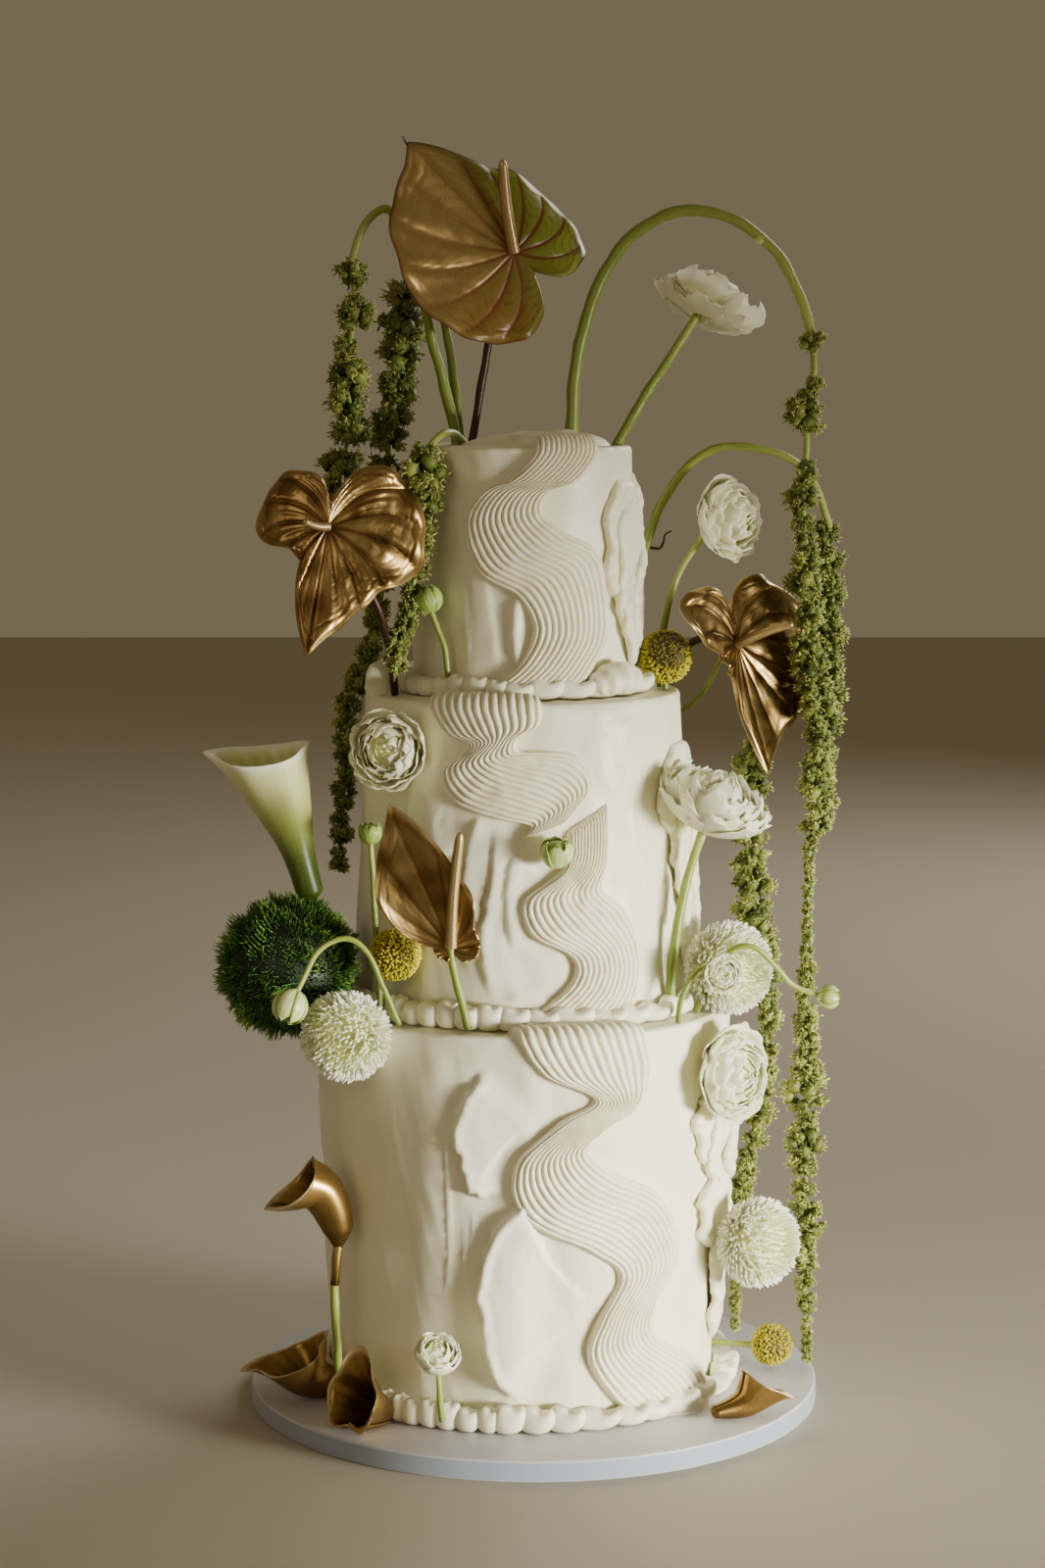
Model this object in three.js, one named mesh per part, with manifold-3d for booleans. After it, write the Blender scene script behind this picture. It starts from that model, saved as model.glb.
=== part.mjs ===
// A three-tier wedding cake on a round board: combed buttercream waves, piped folds round each foot,
// and fresh and gilded flowers pushed into the tops and ledges.
// Millimetres, +Z up, the front looks along -Y. The origin is the middle of the board's underside.

import * as THREE from 'three';
import { mergeVertices } from 'three/addons/utils/BufferGeometryUtils.js';
import Module from 'manifold-3d';

const wasm = await Module();
wasm.setup();

// Driving dimensions
const BOARD = { radius: 177.8, thickness: 13, edge: 1.2 };
const CAKE_X = -7; // the tiers stand a little left of the board's middle
const GAP = 0.3; // left between pieces that touch
const CUT_GAP = 0.36; // by how much a piece grows before a neighbour is cut clear of it
const SEAT = 0.5; // gap under a piece that stands on another
const TIERS = {
  bottom: { foot: BOARD.thickness, top: 253.5, footRadius: 119, topRadius: 130, around: 36 },
  middle: { foot: 253.5, top: 446.5, footRadius: 104, topRadius: 97, around: 32 },
  top: { foot: 446.5, top: 596.5, footRadius: 67, topRadius: 67, around: 26 },
};
const RIM_ROUND = 3; // the knife leaves each top edge softly rounded
const HALFWAY_ROUND = Math.SQRT1_2; // share of that rounding reached at its middle
const FOOT_HOLLOW = 10; // a combed wave turns out over the ledge with this radius
const ICING_WAVE = 0.7; // height of the knife's slow unevenness on a wall
const RIBBON_BACK = 0.9; // a wave's back stands this far off the wall
const RIM_CLEAR = 1.1; // and this much more where it turns over a rim
const RIM_REACH = 8; // within about this distance of the rim
const WAVE_ACROSS = 3; // faces across a combed wave
const WAVE_STEPS = 2; // faces between two comb lines
const WAVE_EDGE = 0.82; // thickness at a wave's edges, as a share of that in its middle
const TIER_ROWS = 3; // faces up a tier's wall

const ICING = { color: 0xf1e9da, roughness: 0.55, metalness: 0 };
const BOARD_WHITE = { color: 0xe4e3e6, roughness: 0.5, metalness: 0 };
const PETAL_WHITE = { color: 0xeeeee0, roughness: 0.6, metalness: 0 };
const MUM_WHITE = { color: 0xdedccb, roughness: 0.65, metalness: 0 };
const BUD_GREEN = { color: 0xb9bf86, roughness: 0.5, metalness: 0 };
const TASSEL_GREEN = { color: 0x6f8030, roughness: 0.8, metalness: 0 };
const MOSS_GREEN = { color: 0x2c5216, roughness: 0.8, metalness: 0 };
const BUTTON_YELLOW = { color: 0xd2a61c, roughness: 0.8, metalness: 0 };
const GOLD = { color: 0xb08a54, roughness: 0.28, metalness: 0.9 };
const BRONZE_GREEN = { color: 0x8a7a3c, roughness: 0.35, metalness: 0.5 };
const CALLA_CREAM = { color: 0xc9c59c, roughness: 0.5, metalness: 0 };

const vec = (x, y, z) => new THREE.Vector3(x, y, z);
const mix = THREE.MathUtils.lerp;
const degrees = THREE.MathUtils.degToRad;

// Turns a three.js shape into a solid after moving each of its points by the function place
function solid(geometry, place) {
  geometry.deleteAttribute('normal');
  geometry.deleteAttribute('uv');
  const merged = mergeVertices(geometry, 1e-5);
  const vertProperties = new Float32Array(merged.attributes.position.count * 3);
  const point = new THREE.Vector3();
  for (let i = 0; i < merged.attributes.position.count; i++) {
    place(point.fromBufferAttribute(merged.attributes.position, i)).toArray(vertProperties, i * 3);
  }
  const corners = [];
  for (let i = 0; i < merged.index.count; i += 3) {
    const [a, b, c] = merged.index.array.subarray(i, i + 3);
    if (a !== b && b !== c && c !== a) corners.push([a, b, c]);
  }
  if (signedVolume(vertProperties, corners) < 0) corners.forEach((corner) => corner.reverse());
  const triVerts = new Uint32Array(corners.flat());
  return new wasm.Manifold(new wasm.Mesh({ numProp: 3, vertProperties, triVerts }));
}

function signedVolume(points, corners) {
  const at = (i) => vec(points[i * 3], points[i * 3 + 1], points[i * 3 + 2]);
  return corners.reduce((sum, [a, b, c]) => sum + at(a).dot(at(b).cross(at(c))) / 6, 0);
}

// The same solid, every point moved out along its normal, so that a cut with it leaves a gap
function grown(shape, by) {
  const { vertProperties, triVerts } = shape.getMesh();
  const geometry = new THREE.BufferGeometry();
  geometry.setAttribute('position', new THREE.BufferAttribute(new Float32Array(vertProperties), 3));
  geometry.setIndex(new THREE.BufferAttribute(new Uint32Array(triVerts), 1));
  geometry.computeVertexNormals();
  const position = geometry.attributes.position.array;
  geometry.attributes.normal.array.forEach((value, i) => {
    position[i] += value * by;
  });
  return new wasm.Manifold(new wasm.Mesh({ numProp: 3, vertProperties: position, triVerts }));
}

const cake = new THREE.Group();
const placed = []; // what later pieces are cut clear of

function boxesMeet(a, b) {
  return [0, 1, 2].every((i) => a.min[i] < b.max[i] + 2 * GAP && b.min[i] < a.max[i] + 2 * GAP);
}

// Adds one named piece, cut clear of the pieces before it, without the loose scraps of that cut
function addPiece(name, shape, look) {
  let piece = shape;
  for (const other of placed) {
    if (boxesMeet(piece.boundingBox(), other.box)) piece = piece.subtract(other.grown);
  }
  const bodies = piece.decompose().sort((a, b) => b.volume() - a.volume());
  const body = bodies[0];
  const { vertProperties, triVerts } = body.getMesh();
  const geometry = new THREE.BufferGeometry();
  geometry.setAttribute('position', new THREE.BufferAttribute(vertProperties, 3));
  geometry.setIndex(new THREE.BufferAttribute(triVerts, 1));
  const mesh = new THREE.Mesh(geometry, new THREE.MeshStandardMaterial(look));
  mesh.name = name;
  cake.add(mesh);
  placed.push({ box: body.boundingBox(), grown: grown(body, CUT_GAP).add(body) });
}

// Curves and frames

// Rows of point, normal and binormal along a curve, the normal carried on without twist
function rowsAlong(points, steps) {
  const curve = new THREE.CatmullRomCurve3(points.map((p) => vec(...p)), false, 'centripetal');
  let normal = vec(0.31, -0.9, 0.3);
  return Array.from({ length: steps + 1 }, (_, i) => {
    const tangent = curve.getTangent(i / steps);
    normal = normal.clone().addScaledVector(tangent, -normal.dot(tangent)).normalize();
    return { at: curve.getPoint(i / steps), tangent, normal, side: tangent.clone().cross(normal) };
  });
}

// A round bar along a route; widthAt gives its radius from the share of the route, 0 to 1
function bar(points, widthAt, sides, steps) {
  const rows = rowsAlong(points, steps);
  return solid(new THREE.CylinderGeometry(1, 1, 1, sides, steps), (p) => {
    const row = rows[Math.round((0.5 - p.y) * steps)];
    const width = widthAt((0.5 - p.y));
    return row.at.clone().addScaledVector(row.normal, p.x * width).addScaledVector(row.side, p.z * width);
  });
}

const stem = (points, radius) => bar(points, () => radius, 5, points.length);

// A ball whose pole points along axis; reach gives the radius out and the share of it kept along the axis
function ball(centre, axis, radius, flat, around, rows, bumps = () => 1) {
  const turn = new THREE.Quaternion().setFromUnitVectors(vec(0, 1, 0), vec(...axis).normalize());
  return solid(new THREE.SphereGeometry(1, around, rows), (p) => {
    const reach = radius * bumps(Math.atan2(p.z, p.x), p.y);
    return vec(p.x * reach, p.y * reach * flat, p.z * reach).applyQuaternion(turn).add(vec(...centre));
  });
}

// Board and tiers

function lathe(profile, around, place) {
  return solid(new THREE.LatheGeometry(profile.map(([r, z]) => new THREE.Vector2(r, z)), around), place);
}

function board() {
  const { radius, thickness, edge } = BOARD;
  const profile = [
    [0, 0], [radius - edge, 0], [radius, edge], [radius, thickness - edge],
    [radius - edge, thickness], [0, thickness],
  ];
  return lathe(profile, 48, (p) => vec(p.x, p.z, p.y));
}

// The slow unevenness that the palette knife leaves, none at the foot and the rim
function knifeWave(angle, share) {
  const fade = Math.sin(Math.PI * THREE.MathUtils.clamp(share, 0, 1));
  const wave = Math.sin(3 * angle + 5 * share) + 0.6 * Math.sin(7 * angle - 4 * share + 1);
  return ICING_WAVE * fade * wave;
}

function tier({ foot, top, footRadius, topRadius, around }) {
  const low = foot + SEAT;
  const profile = [[0, 0], [1, 0]];
  for (let i = 1; i < TIER_ROWS; i++) profile.push([1, i / TIER_ROWS]);
  const roundedFrom = (top - RIM_ROUND - low) / (top - low);
  const roundedIn = 1 - RIM_ROUND / topRadius;
  profile.push([1, roundedFrom], [mix(roundedIn, 1, HALFWAY_ROUND), mix(roundedFrom, 1, HALFWAY_ROUND)]);
  profile.push([roundedIn, 1], [0, 1]);
  return lathe(profile, around, (p) => {
    const angle = Math.atan2(p.x, p.z);
    const wall = mix(footRadius, topRadius, p.y) + knifeWave(angle, p.y);
    const radius = Math.hypot(p.x, p.z) * wall;
    return vec(CAKE_X + Math.sin(angle) * radius, -Math.cos(angle) * radius, mix(low, top, p.y));
  });
}

// A point over a tier's icing: down is measured over the surface from the rim, less than 0 on the top,
// and past the wall's height it runs out over the ledge; lift is the height over the icing.
function overIcing(tierSizes, degreesRound, down, lift) {
  const { foot, top, footRadius, topRadius } = tierSizes;
  const height = top - foot;
  let radius;
  let z;
  let out = 1;
  let up = 0;
  if (Math.abs(down) < RIM_ROUND) {
    const turn = ((down + RIM_ROUND) / (2 * RIM_ROUND)) * (Math.PI / 2);
    out = Math.sin(turn);
    up = Math.cos(turn);
    radius = topRadius - RIM_ROUND + RIM_ROUND * out;
    z = top - RIM_ROUND + RIM_ROUND * up;
  } else if (down < 0) {
    [radius, z, out, up] = [topRadius + down, top, 0, 1];
  } else if (down < height - FOOT_HOLLOW) {
    radius = mix(topRadius, footRadius, down / height) + knifeWave(degrees(degreesRound), 1 - down / height);
    z = top - down;
  } else if (down < height + FOOT_HOLLOW) {
    const turn = ((down - height + FOOT_HOLLOW) / (2 * FOOT_HOLLOW)) * (Math.PI / 2);
    out = Math.cos(turn);
    up = Math.sin(turn);
    radius = footRadius + FOOT_HOLLOW * (1 - out);
    z = foot + FOOT_HOLLOW * (1 - up);
  } else {
    [radius, z, out, up] = [footRadius + down - height, foot, 0, 1];
  }
  const angle = degrees(degreesRound);
  const reach = radius + lift * out;
  return vec(CAKE_X + Math.sin(angle) * reach, -Math.cos(angle) * reach, z + lift * up);
}

// Combed waves of buttercream. Each row is one line of the comb: its left and right end as degrees round
// the tier and millimetres down from the rim, and the thickness of the wave there.
const WAVES = {
  wave_top: {
    tier: TIERS.top,
    lines: [
      [-2, -14, 34, -16, 5], [6, 0, 40.6, 0, 7], [-6, 18, 29, 19.4, 7], [-20.6, 26, 13.7, 26.7, 7],
      [-30, 45.6, 10.9, 38.9, 7], [-22.7, 74, 22.7, 50, 7], [-4, 88, 42.1, 65.3, 7],
      [4.7, 106.3, 47, 108, 7], [-1.4, 126.8, 37.9, 130, 7], [-13.3, 141, 25.4, 147, 8],
    ],
  },
  wave_middle_high: {
    tier: TIERS.middle,
    lines: [
      [-33, -13, 4, -14, 4], [-34.7, 0, 6.6, 0, 6], [-27.5, 17.5, 5.5, 12, 7],
      [-18.2, 25, -1.6, 19, 8], [-28, 40.3, -1, 27.3, 7], [-23.5, 58.5, 8.8, 27, 6],
      [-9, 68, 19.5, 31, 6], [2.2, 72, 24, 47.5, 6], [-1, 80, 14, 71, 6],
    ],
  },
  wave_middle_low: {
    tier: TIERS.middle,
    lines: [
      [15.2, 75.9, 30.1, 58.6, 5], [12.5, 97.8, 29.7, 92, 7], [-0.3, 116, 27.4, 110, 7],
      [2.2, 136.5, 35.7, 123, 7], [15.5, 150, 41.5, 146.9, 7], [15.5, 165, 41.2, 170, 7],
      [4.6, 182.7, 35.6, 190, 8],
    ],
  },
  wave_bottom: {
    tier: TIERS.bottom,
    lines: [
      [-5, -15, 28, -14, 5], [-2, 0, 33.5, 0, 6], [4.7, 21.6, 36, 26.4, 6], [18.6, 38, 31.7, 46, 7],
      [9.3, 52, 23.1, 56.6, 7], [-2.3, 79, 18.1, 69, 7], [0.8, 110.2, 26.3, 84.8, 7],
      [17.7, 131.1, 42, 104.3, 7], [26.8, 147.8, 49, 142, 7], [21.5, 174, 39.3, 170, 7],
      [18.8, 197, 41, 190, 7], [27, 226, 60, 213, 8], [41, 245, 64, 237, 9], [50, 259, 58, 257, 6],
    ],
  },
};

function combedWave({ tier: tierSizes, lines }) {
  const edge = (from) => {
    const points = lines.map((line) => vec(line[from], line[from + 1], line[4]));
    return new THREE.CatmullRomCurve3(points, false, 'catmullrom', 0.5);
  };
  const left = edge(0);
  const right = edge(2);
  const steps = (lines.length - 1) * WAVE_STEPS;
  return solid(new THREE.BoxGeometry(1, 1, 1, WAVE_ACROSS, 1, steps), (p) => {
    const share = p.z + 0.5;
    const across = p.x + 0.5;
    const line = left.getPoint(share).lerp(right.getPoint(share), across);
    const crown = mix(WAVE_EDGE, 1, Math.sin(Math.PI * across));
    const back = RIBBON_BACK + RIM_CLEAR * Math.exp(-Math.pow(line.y / RIM_REACH, 2));
    const lift = p.y > 0 ? line.z * crown : back;
    return overIcing(tierSizes, line.x, line.y, lift);
  });
}

// The mound on top where the first wave begins, highest towards the right
const MOUND = { centre: [0, -26, TIERS.top.top + SEAT], reach: [46, 30, 12] };
const MOUND_LEFT = 0.5; // its height on the left, as a share of that on the right

function mound() {
  const { centre, reach } = MOUND;
  const profile = [[0, 0], [1, 0], [0.9, 0.45], [0.55, 0.86], [0, 1]];
  return lathe(profile, 14, (p) => {
    const rise = p.y * mix(MOUND_LEFT, 1, (1 + p.x) / 2) * reach[2];
    return vec(centre[0] + p.x * reach[0], centre[1] - p.z * reach[1], centre[2] + rise);
  });
}

// Knife-drawn petals of icing that lap round the right side of each tier. Each petal runs from its free
// edge to its root in degrees, and from its upper to its lower end in millimetres below the rim.
const KNIFE_PETALS = {
  petals_top: {
    tier: TIERS.top,
    petals: [
      { free: 52, root: 100, upper: 24, lower: 118, stands: 6 },
      { free: 66, root: 128, upper: 46, lower: 134, stands: 8.5 },
    ],
  },
  petals_middle: {
    tier: TIERS.middle,
    petals: [
      { free: 62, root: 96, upper: 36, lower: 150, stands: 5 },
      { free: 74, root: 122, upper: 48, lower: 170, stands: 7.5 },
    ],
  },
  petals_bottom: {
    tier: TIERS.bottom,
    petals: [
      { free: 60, root: 88, upper: 32, lower: 112, stands: 5 },
      { free: 70, root: 110, upper: 44, lower: 118, stands: 8.5 },
      { free: 66, root: 104, upper: 128, lower: 214, stands: 5 },
    ],
  },
};
const PETAL_THICK = 4;
const PETAL_NARROWS = 0.45; // how much shorter a petal reaches at its ends
const PETAL_BULGE = [0.12, 0.88]; // the stretch of a half wave that its free edge stands up by

function knifePetal(tierSizes, { free, root, upper, lower, stands }) {
  return solid(new THREE.BoxGeometry(1, 1, 1, 3, 1, 5), (p) => {
    const along = p.z + 0.5;
    const across = p.x + 0.5;
    const narrowing = 1 - PETAL_NARROWS * Math.pow(Math.abs(2 * along - 1), 3);
    const angle = mix(root, free, across * narrowing);
    const lift = mix(1, stands * Math.sin(Math.PI * mix(...PETAL_BULGE, along)), across * across);
    const high = RIBBON_BACK + lift + (p.y + 0.5) * PETAL_THICK;
    return overIcing(tierSizes, angle, mix(upper, lower, along), high);
  });
}

// Folded border round the foot of a tier: deep even folds, wider towards the right
const BORDER_BACK = 2.2; // from the wall's foot to the border's back
const FOLD_SECTION = [[0.96, 0.36], [0.34, 1], [0, 0], [0.84, 0]]; // shares of its reach and height
const FOLD_DIP = 0.62; // how far the icing reaches between two folds, as a share of a fold
const BORDERS = {
  border_top: { tier: TIERS.top, folds: 21, out: 13, high: 15 },
  border_middle: { tier: TIERS.middle, folds: 28, out: 15, high: 17 },
  border_bottom: { tier: TIERS.bottom, folds: 34, out: 16, high: 18 },
};

function border({ tier: tierSizes, folds, out, high }) {
  const inner = tierSizes.footRadius + BORDER_BACK;
  const corners = FOLD_SECTION.length;
  return solid(new THREE.TorusGeometry(2, 1, corners, folds * 2), (p) => {
    const round = Math.atan2(p.y, p.x);
    const turn = Math.atan2(p.z, Math.hypot(p.x, p.y) - 2);
    const place = Math.round((turn / (2 * Math.PI)) * corners + corners) % corners;
    const [outShare, upShare] = FOLD_SECTION[place];
    const step = Math.round((round / Math.PI) * folds + 2 * folds);
    const deep = step % 2 === 0 ? 1 : FOLD_DIP;
    const uneven = 1 + 0.12 * Math.sin(step * 1.7);
    const angle = round + 0.1 * Math.sin(round) * Math.sin(round);
    const radius = inner + outShare * out * deep * uneven;
    const z = tierSizes.foot + SEAT + upShare * high * mix(1, deep, 0.3) * uneven;
    return vec(CAKE_X + Math.cos(angle) * radius, Math.sin(angle) * radius, z);
  });
}

// Heart-leaf flowers (spathe and spike)

// How far a heart leaf reaches from its base, as a share of its length, by degrees from the tip
const HEART = [[0, 1], [10, 0.87], [25, 0.77], [50, 0.73], [90, 0.66], [135, 0.6], [162, 0.44], [180, 0.14]];

// blade and lobe stretch half a leaf beside and behind its base; one passes to the other between two angles
function heartReach(turn, blade, lobe, [passFrom, passTo]) {
  const next = Math.max(1, HEART.findIndex(([limit]) => turn <= limit + 1e-6));
  const [fromAngle, fromReach] = HEART[next - 1];
  const [toAngle, toReach] = HEART[next];
  const plain = mix(fromReach, toReach, (turn - fromAngle) / (toAngle - fromAngle));
  const beside = mix(1, blade, Math.min(1, turn / 30));
  return plain * mix(beside, lobe, THREE.MathUtils.smoothstep(turn, passFrom, passTo));
}

// Each pair is for the leaf's two halves: how far it rolls towards the leaf's face, in radians at its
// edge, and how much its blade and its lobe are stretched. pass is where the blade passes to the lobe, in
// degrees from the tip, and hook lifts the tip.
const HEART_FLOWERS = {
  heart_crown: {
    base: [-12, -6, 713], tip: [-0.71, -0.08, 0.7], faces: [0.1, -0.97, 0.1], length: 92, pass: [80, 125],
    curl: [0.5, -1.2], blades: [1.13, 0.78], lobes: [1.02, 0.86], hook: 0.1, spike: [-19, -26, 767],
    stem: [[-20, 2, 690], [-28, 2, 655], [-39, 5, 590]], look: BRONZE_GREEN,
  },
  heart_left: {
    base: [-121, -92, 551], tip: [-0.16, -0.18, -0.97], faces: [0.12, -0.93, 0.2], length: 78, pass: [45, 85],
    curl: [-0.3, -1.0], blades: [0.87, 0.44], lobes: [1.18, 0.9], hook: 0.05, spike: [-134, -108, 555],
    stem: [[-112, -86, 548], [-93, -74, 502], [-86, -52, 470], [-84, -44, 440]], look: GOLD,
  },
  heart_right: {
    base: [125, -8, 475], tip: [0.2, -0.06, -0.97], faces: [0.82, -0.55, 0.12], length: 84, pass: [80, 125],
    curl: [0.9, -0.3], blades: [1.0, 0.34], lobes: [1.05, 1.05], hook: 0.05, spike: [157, -32, 489],
    stem: [[122, -4, 474], [104, -2, 478], [90, 0, 468], [84, 0, 440]], look: GOLD,
  },
  heart_front: {
    base: [-49, -122, 306], tip: [-0.38, -0.03, 0.92], faces: [-0.1, -0.99, 0.1], length: 93, pass: [25, 75],
    curl: [0.9, 1.2], blades: [0.8, 0.62], lobes: [0.17, 0.3], hook: 0.05, spike: [-43, -134, 376],
    stem: [[-49, -121, 304], [-45, -118, 280], [-39, -114, 245]], look: GOLD,
  },
};
const HEART_THICK = 1.6;
const SPIKE_RADIUS = [4.2, 2.6]; // at the spike's base and at its tip
const HEART_STALK = 2.6;

function heartFlower({
  base, tip, faces, length, pass, curl, blades, lobes, hook, spike, stem: route,
}) {
  const along = vec(...tip).normalize();
  const side = along.clone().cross(vec(...faces)).normalize();
  const front = side.clone().cross(along).normalize();
  const profile = [[0, -1], [0.6, -1], [1, -1], [1, 1], [0.6, 1], [0, 1]];
  const leaf = lathe(profile, 18, (p) => {
    const angle = Math.atan2(p.x, p.z);
    const half = angle < 0 ? 0 : 1;
    const turn = Math.abs(THREE.MathUtils.radToDeg(angle));
    const reach = Math.hypot(p.x, p.z) * heartReach(turn, blades[half], lobes[half], pass) * length;
    const across = Math.sin(angle) * reach;
    const down = Math.cos(angle) * reach;
    const bend = curl[half] / (0.7 * length);
    const turned = Math.sin(across * bend) / bend;
    const raised = (1 - Math.cos(across * bend)) / bend;
    const tipped = hook * length * Math.pow(Math.max(0, down) / length, 2);
    const height = raised + tipped + (p.y * HEART_THICK) / 2;
    return vec(...base).addScaledVector(side, turned).addScaledVector(along, down)
      .addScaledVector(front, height);
  });
  const spadix = bar([base, spike], (share) => mix(...SPIKE_RADIUS, share), 6, 3);
  const stalk = bar(route, () => HEART_STALK, 5, (route.length - 1) * 2);
  return leaf.add(spadix).add(stalk);
}

const THIN_STEM = 1.6; // no stem is thinner

// Ranunculus: many thin petals in a shallow cup. faces is the way that the flower looks.
const RANUNCULUS = {
  ranunculus_crown: {
    at: [107, 5, 686], faces: [0.42, 0.3, 0.86], radius: 35, flat: 0.42,
    stem: [[103, 5, 680], [87, 3, 656], [66, 1, 624], [48, 0, 590]],
  },
  ranunculus_high: {
    at: [123, 10, 552], faces: [0.75, -0.62, 0.2], radius: 27, flat: 0.75,
    stem: [[108, 12, 546], [88, 8, 514], [80, 5, 480], [78, 2, 440]],
  },
  ranunculus_behind: {
    at: [124, 42, 486], faces: [0.5, -0.1, 0.85], radius: 20, flat: 0.6,
    stem: [[123, 42, 474], [107, 42, 441], [86, 38, 418]],
  },
  ranunculus_left: {
    at: [-88, -84, 418], faces: [-0.35, -0.92, 0.1], radius: 25, flat: 0.55, stem: null,
  },
  ranunculus_right: {
    at: [109, -60, 387], faces: [0.35, -0.15, 0.9], radius: 37, flat: 0.6,
    stem: [[103, -58, 370], [92, -60, 335], [84, -64, 290], [82, -64, 262]],
  },
  ranunculus_rim: {
    at: [122, -76, 220], faces: [0.72, -0.66, 0.05], radius: 31, flat: 0.5, stem: null,
  },
  ranunculus_small: {
    at: [113, -88, 284], faces: [0.2, -0.93, 0.15], radius: 12.5, flat: 0.6,
    stem: [[109, -82, 288], [98, -82, 285], [89, -84, 270], [86, -84, 245]],
  },
  ranunculus_base: {
    at: [-57, -139, 66], faces: [0.2, -0.5, 0.8], radius: 14.5, flat: 0.85,
    stem: [[-57, -139, 58], [-56, -138, 40], [-55, -136, 24]],
  },
};

function ranunculus({ at, faces, radius, flat, stem: route }) {
  const petals = (round, up) => 1 + 0.07 * (1 - up * up) * Math.sin(5 * round + 2 * up);
  const bloom = ball(at, faces, radius, flat, 10, 5, petals);
  return route ? bloom.add(stem(route, Math.max(THIN_STEM, radius * 0.09))) : bloom;
}

// Closed buds on bare stems
const BUDS = {
  bud_ledge: { at: [-63, -58, 506], radius: 9, stem: [[-62, -58, 500], [-54, -58, 478], [-51, -58, 440]] },
  bud_left: { at: [-98, -76, 367], radius: 7, stem: [[-98, -76, 362], [-95, -80, 320], [-92, -88, 245]] },
  bud_wave: { at: [13, -111, 360], radius: 9.5, stem: null },
  bud_nodding: {
    at: [-144, -117, 270], radius: 11,
    stem: [[-140, -115, 278], [-128, -112, 301], [-113, -110, 309], [-100, -108, 302], [-90, -105, 280],
      [-80, -101, 245]],
  },
  bud_right: {
    at: [179, -56, 264], radius: 7.5,
    stem: [[173, -56, 265], [158, -58, 271], [146, -64, 284], [132, -68, 297], [118, -66, 294],
      [106, -58, 272], [98, -54, 245]],
  },
};

function bud({ at, radius, stem: route }) {
  const head = ball(at, [0, -0.3, 1], radius, 0.95, 8, 5);
  return route ? head.add(stem(route, 1.7)) : head;
}

// Pompon chrysanthemums, drumstick balls and the green moss-like ball
const MUMS = {
  mum_left: { at: [-112, -102, 249], faces: [-0.2, -0.95, -0.1], radius: 29 },
  mum_right: { at: [119, -46, 280], faces: [0.5, -0.8, 0.1], radius: 30 },
  mum_low: { at: [138, -52, 110], faces: [0.6, -0.78, 0.05], radius: 29 },
};

function mum({ at, faces, radius }) {
  const ragged = (round, up) => 1 + 0.06 * (1 - up * up) * Math.sin(6 * round);
  return ball(at, faces, radius, 0.82, 10, 6, ragged);
}

const BUTTONS = {
  button_ledge: { at: [81, -4, 467], radius: 17.5, stem: [[81, -4, 456], [81, -4, 441]] },
  button_left: { at: [-83, -90, 296], radius: 16.5, stem: null },
  button_base: { at: [151, 3, 29], radius: 14, stem: [[141, 3, 29], [124, 3, 30], [104, 3, 31]] },
};

function button({ at, radius, stem: route }) {
  const head = ball(at, [0, 0, 1], radius, 0.98, 9, 6);
  return route ? head.add(stem(route, 1.8)) : head;
}

const MOSS_BALL = { at: [-149, -56, 283], radius: 46 };

function mossBall({ at, radius }) {
  const tufts = (round, up) => 1 + 0.03 * Math.sin(5 * round + 3 * up) + 0.02 * Math.sin(9 * up);
  return ball(at, [0, 0, 1], radius, 1, 12, 7, tufts);
}

// Calla lilies: a rolled leaf that opens into a trumpet with one long lip. axis runs from the throat's
// foot to the middle of the mouth, lip is the way that the long lip points, and the trumpet widens along
// its axis by the power flare: below 1 it is a bell, above 1 it opens late.
const CALLAS = {
  calla_white: {
    axis: [[-135, -50, 322], [-143, -52, 352], [-150, -54, 376], [-163, -60, 417]], mouth: 25, foot: 8,
    flare: 2.1, lip: [-1, -0.1, 0.1], lipLong: 9, stem: null, look: CALLA_CREAM,
  },
  calla_standing: {
    axis: [[-118.5, -84, 113], [-120, -84, 131], [-128.5, -86, 150], [-143, -90, 157]], mouth: 16, foot: 3.5,
    flare: 0.6, lip: [-0.4, -0.1, -1], lipLong: 13,
    stem: [[-118.5, -84, 116], [-121, -84, 92], [-119, -84, 50], [-117, -84, 8]], look: GOLD,
  },
  calla_board_back: {
    axis: [[-118, -52, 21], [-137, -57, 27], [-149, -60, 43]], mouth: 21.5, foot: 5,
    flare: 0.9, lip: [-1, -0.15, -0.3], lipLong: 10, stem: null, look: GOLD,
  },
  calla_board_front: {
    axis: [[-87, -108, 20.3], [-98, -115, 25.3], [-110, -125, 34.3]], mouth: 19, foot: 6,
    flare: 0.9, lip: [-0.5, 0.1, 1], lipLong: 6, stem: null, look: GOLD,
  },
  calla_board_right: {
    axis: [[107, -104, 18], [127, -93, 21], [139, -87, 33]], mouth: 14.5, foot: 3.5,
    flare: 1.1, lip: [0.9, 0.2, -0.5], lipLong: 8, stem: null, look: GOLD,
  },
};
const CALLA_WALL = 1.5;

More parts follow.
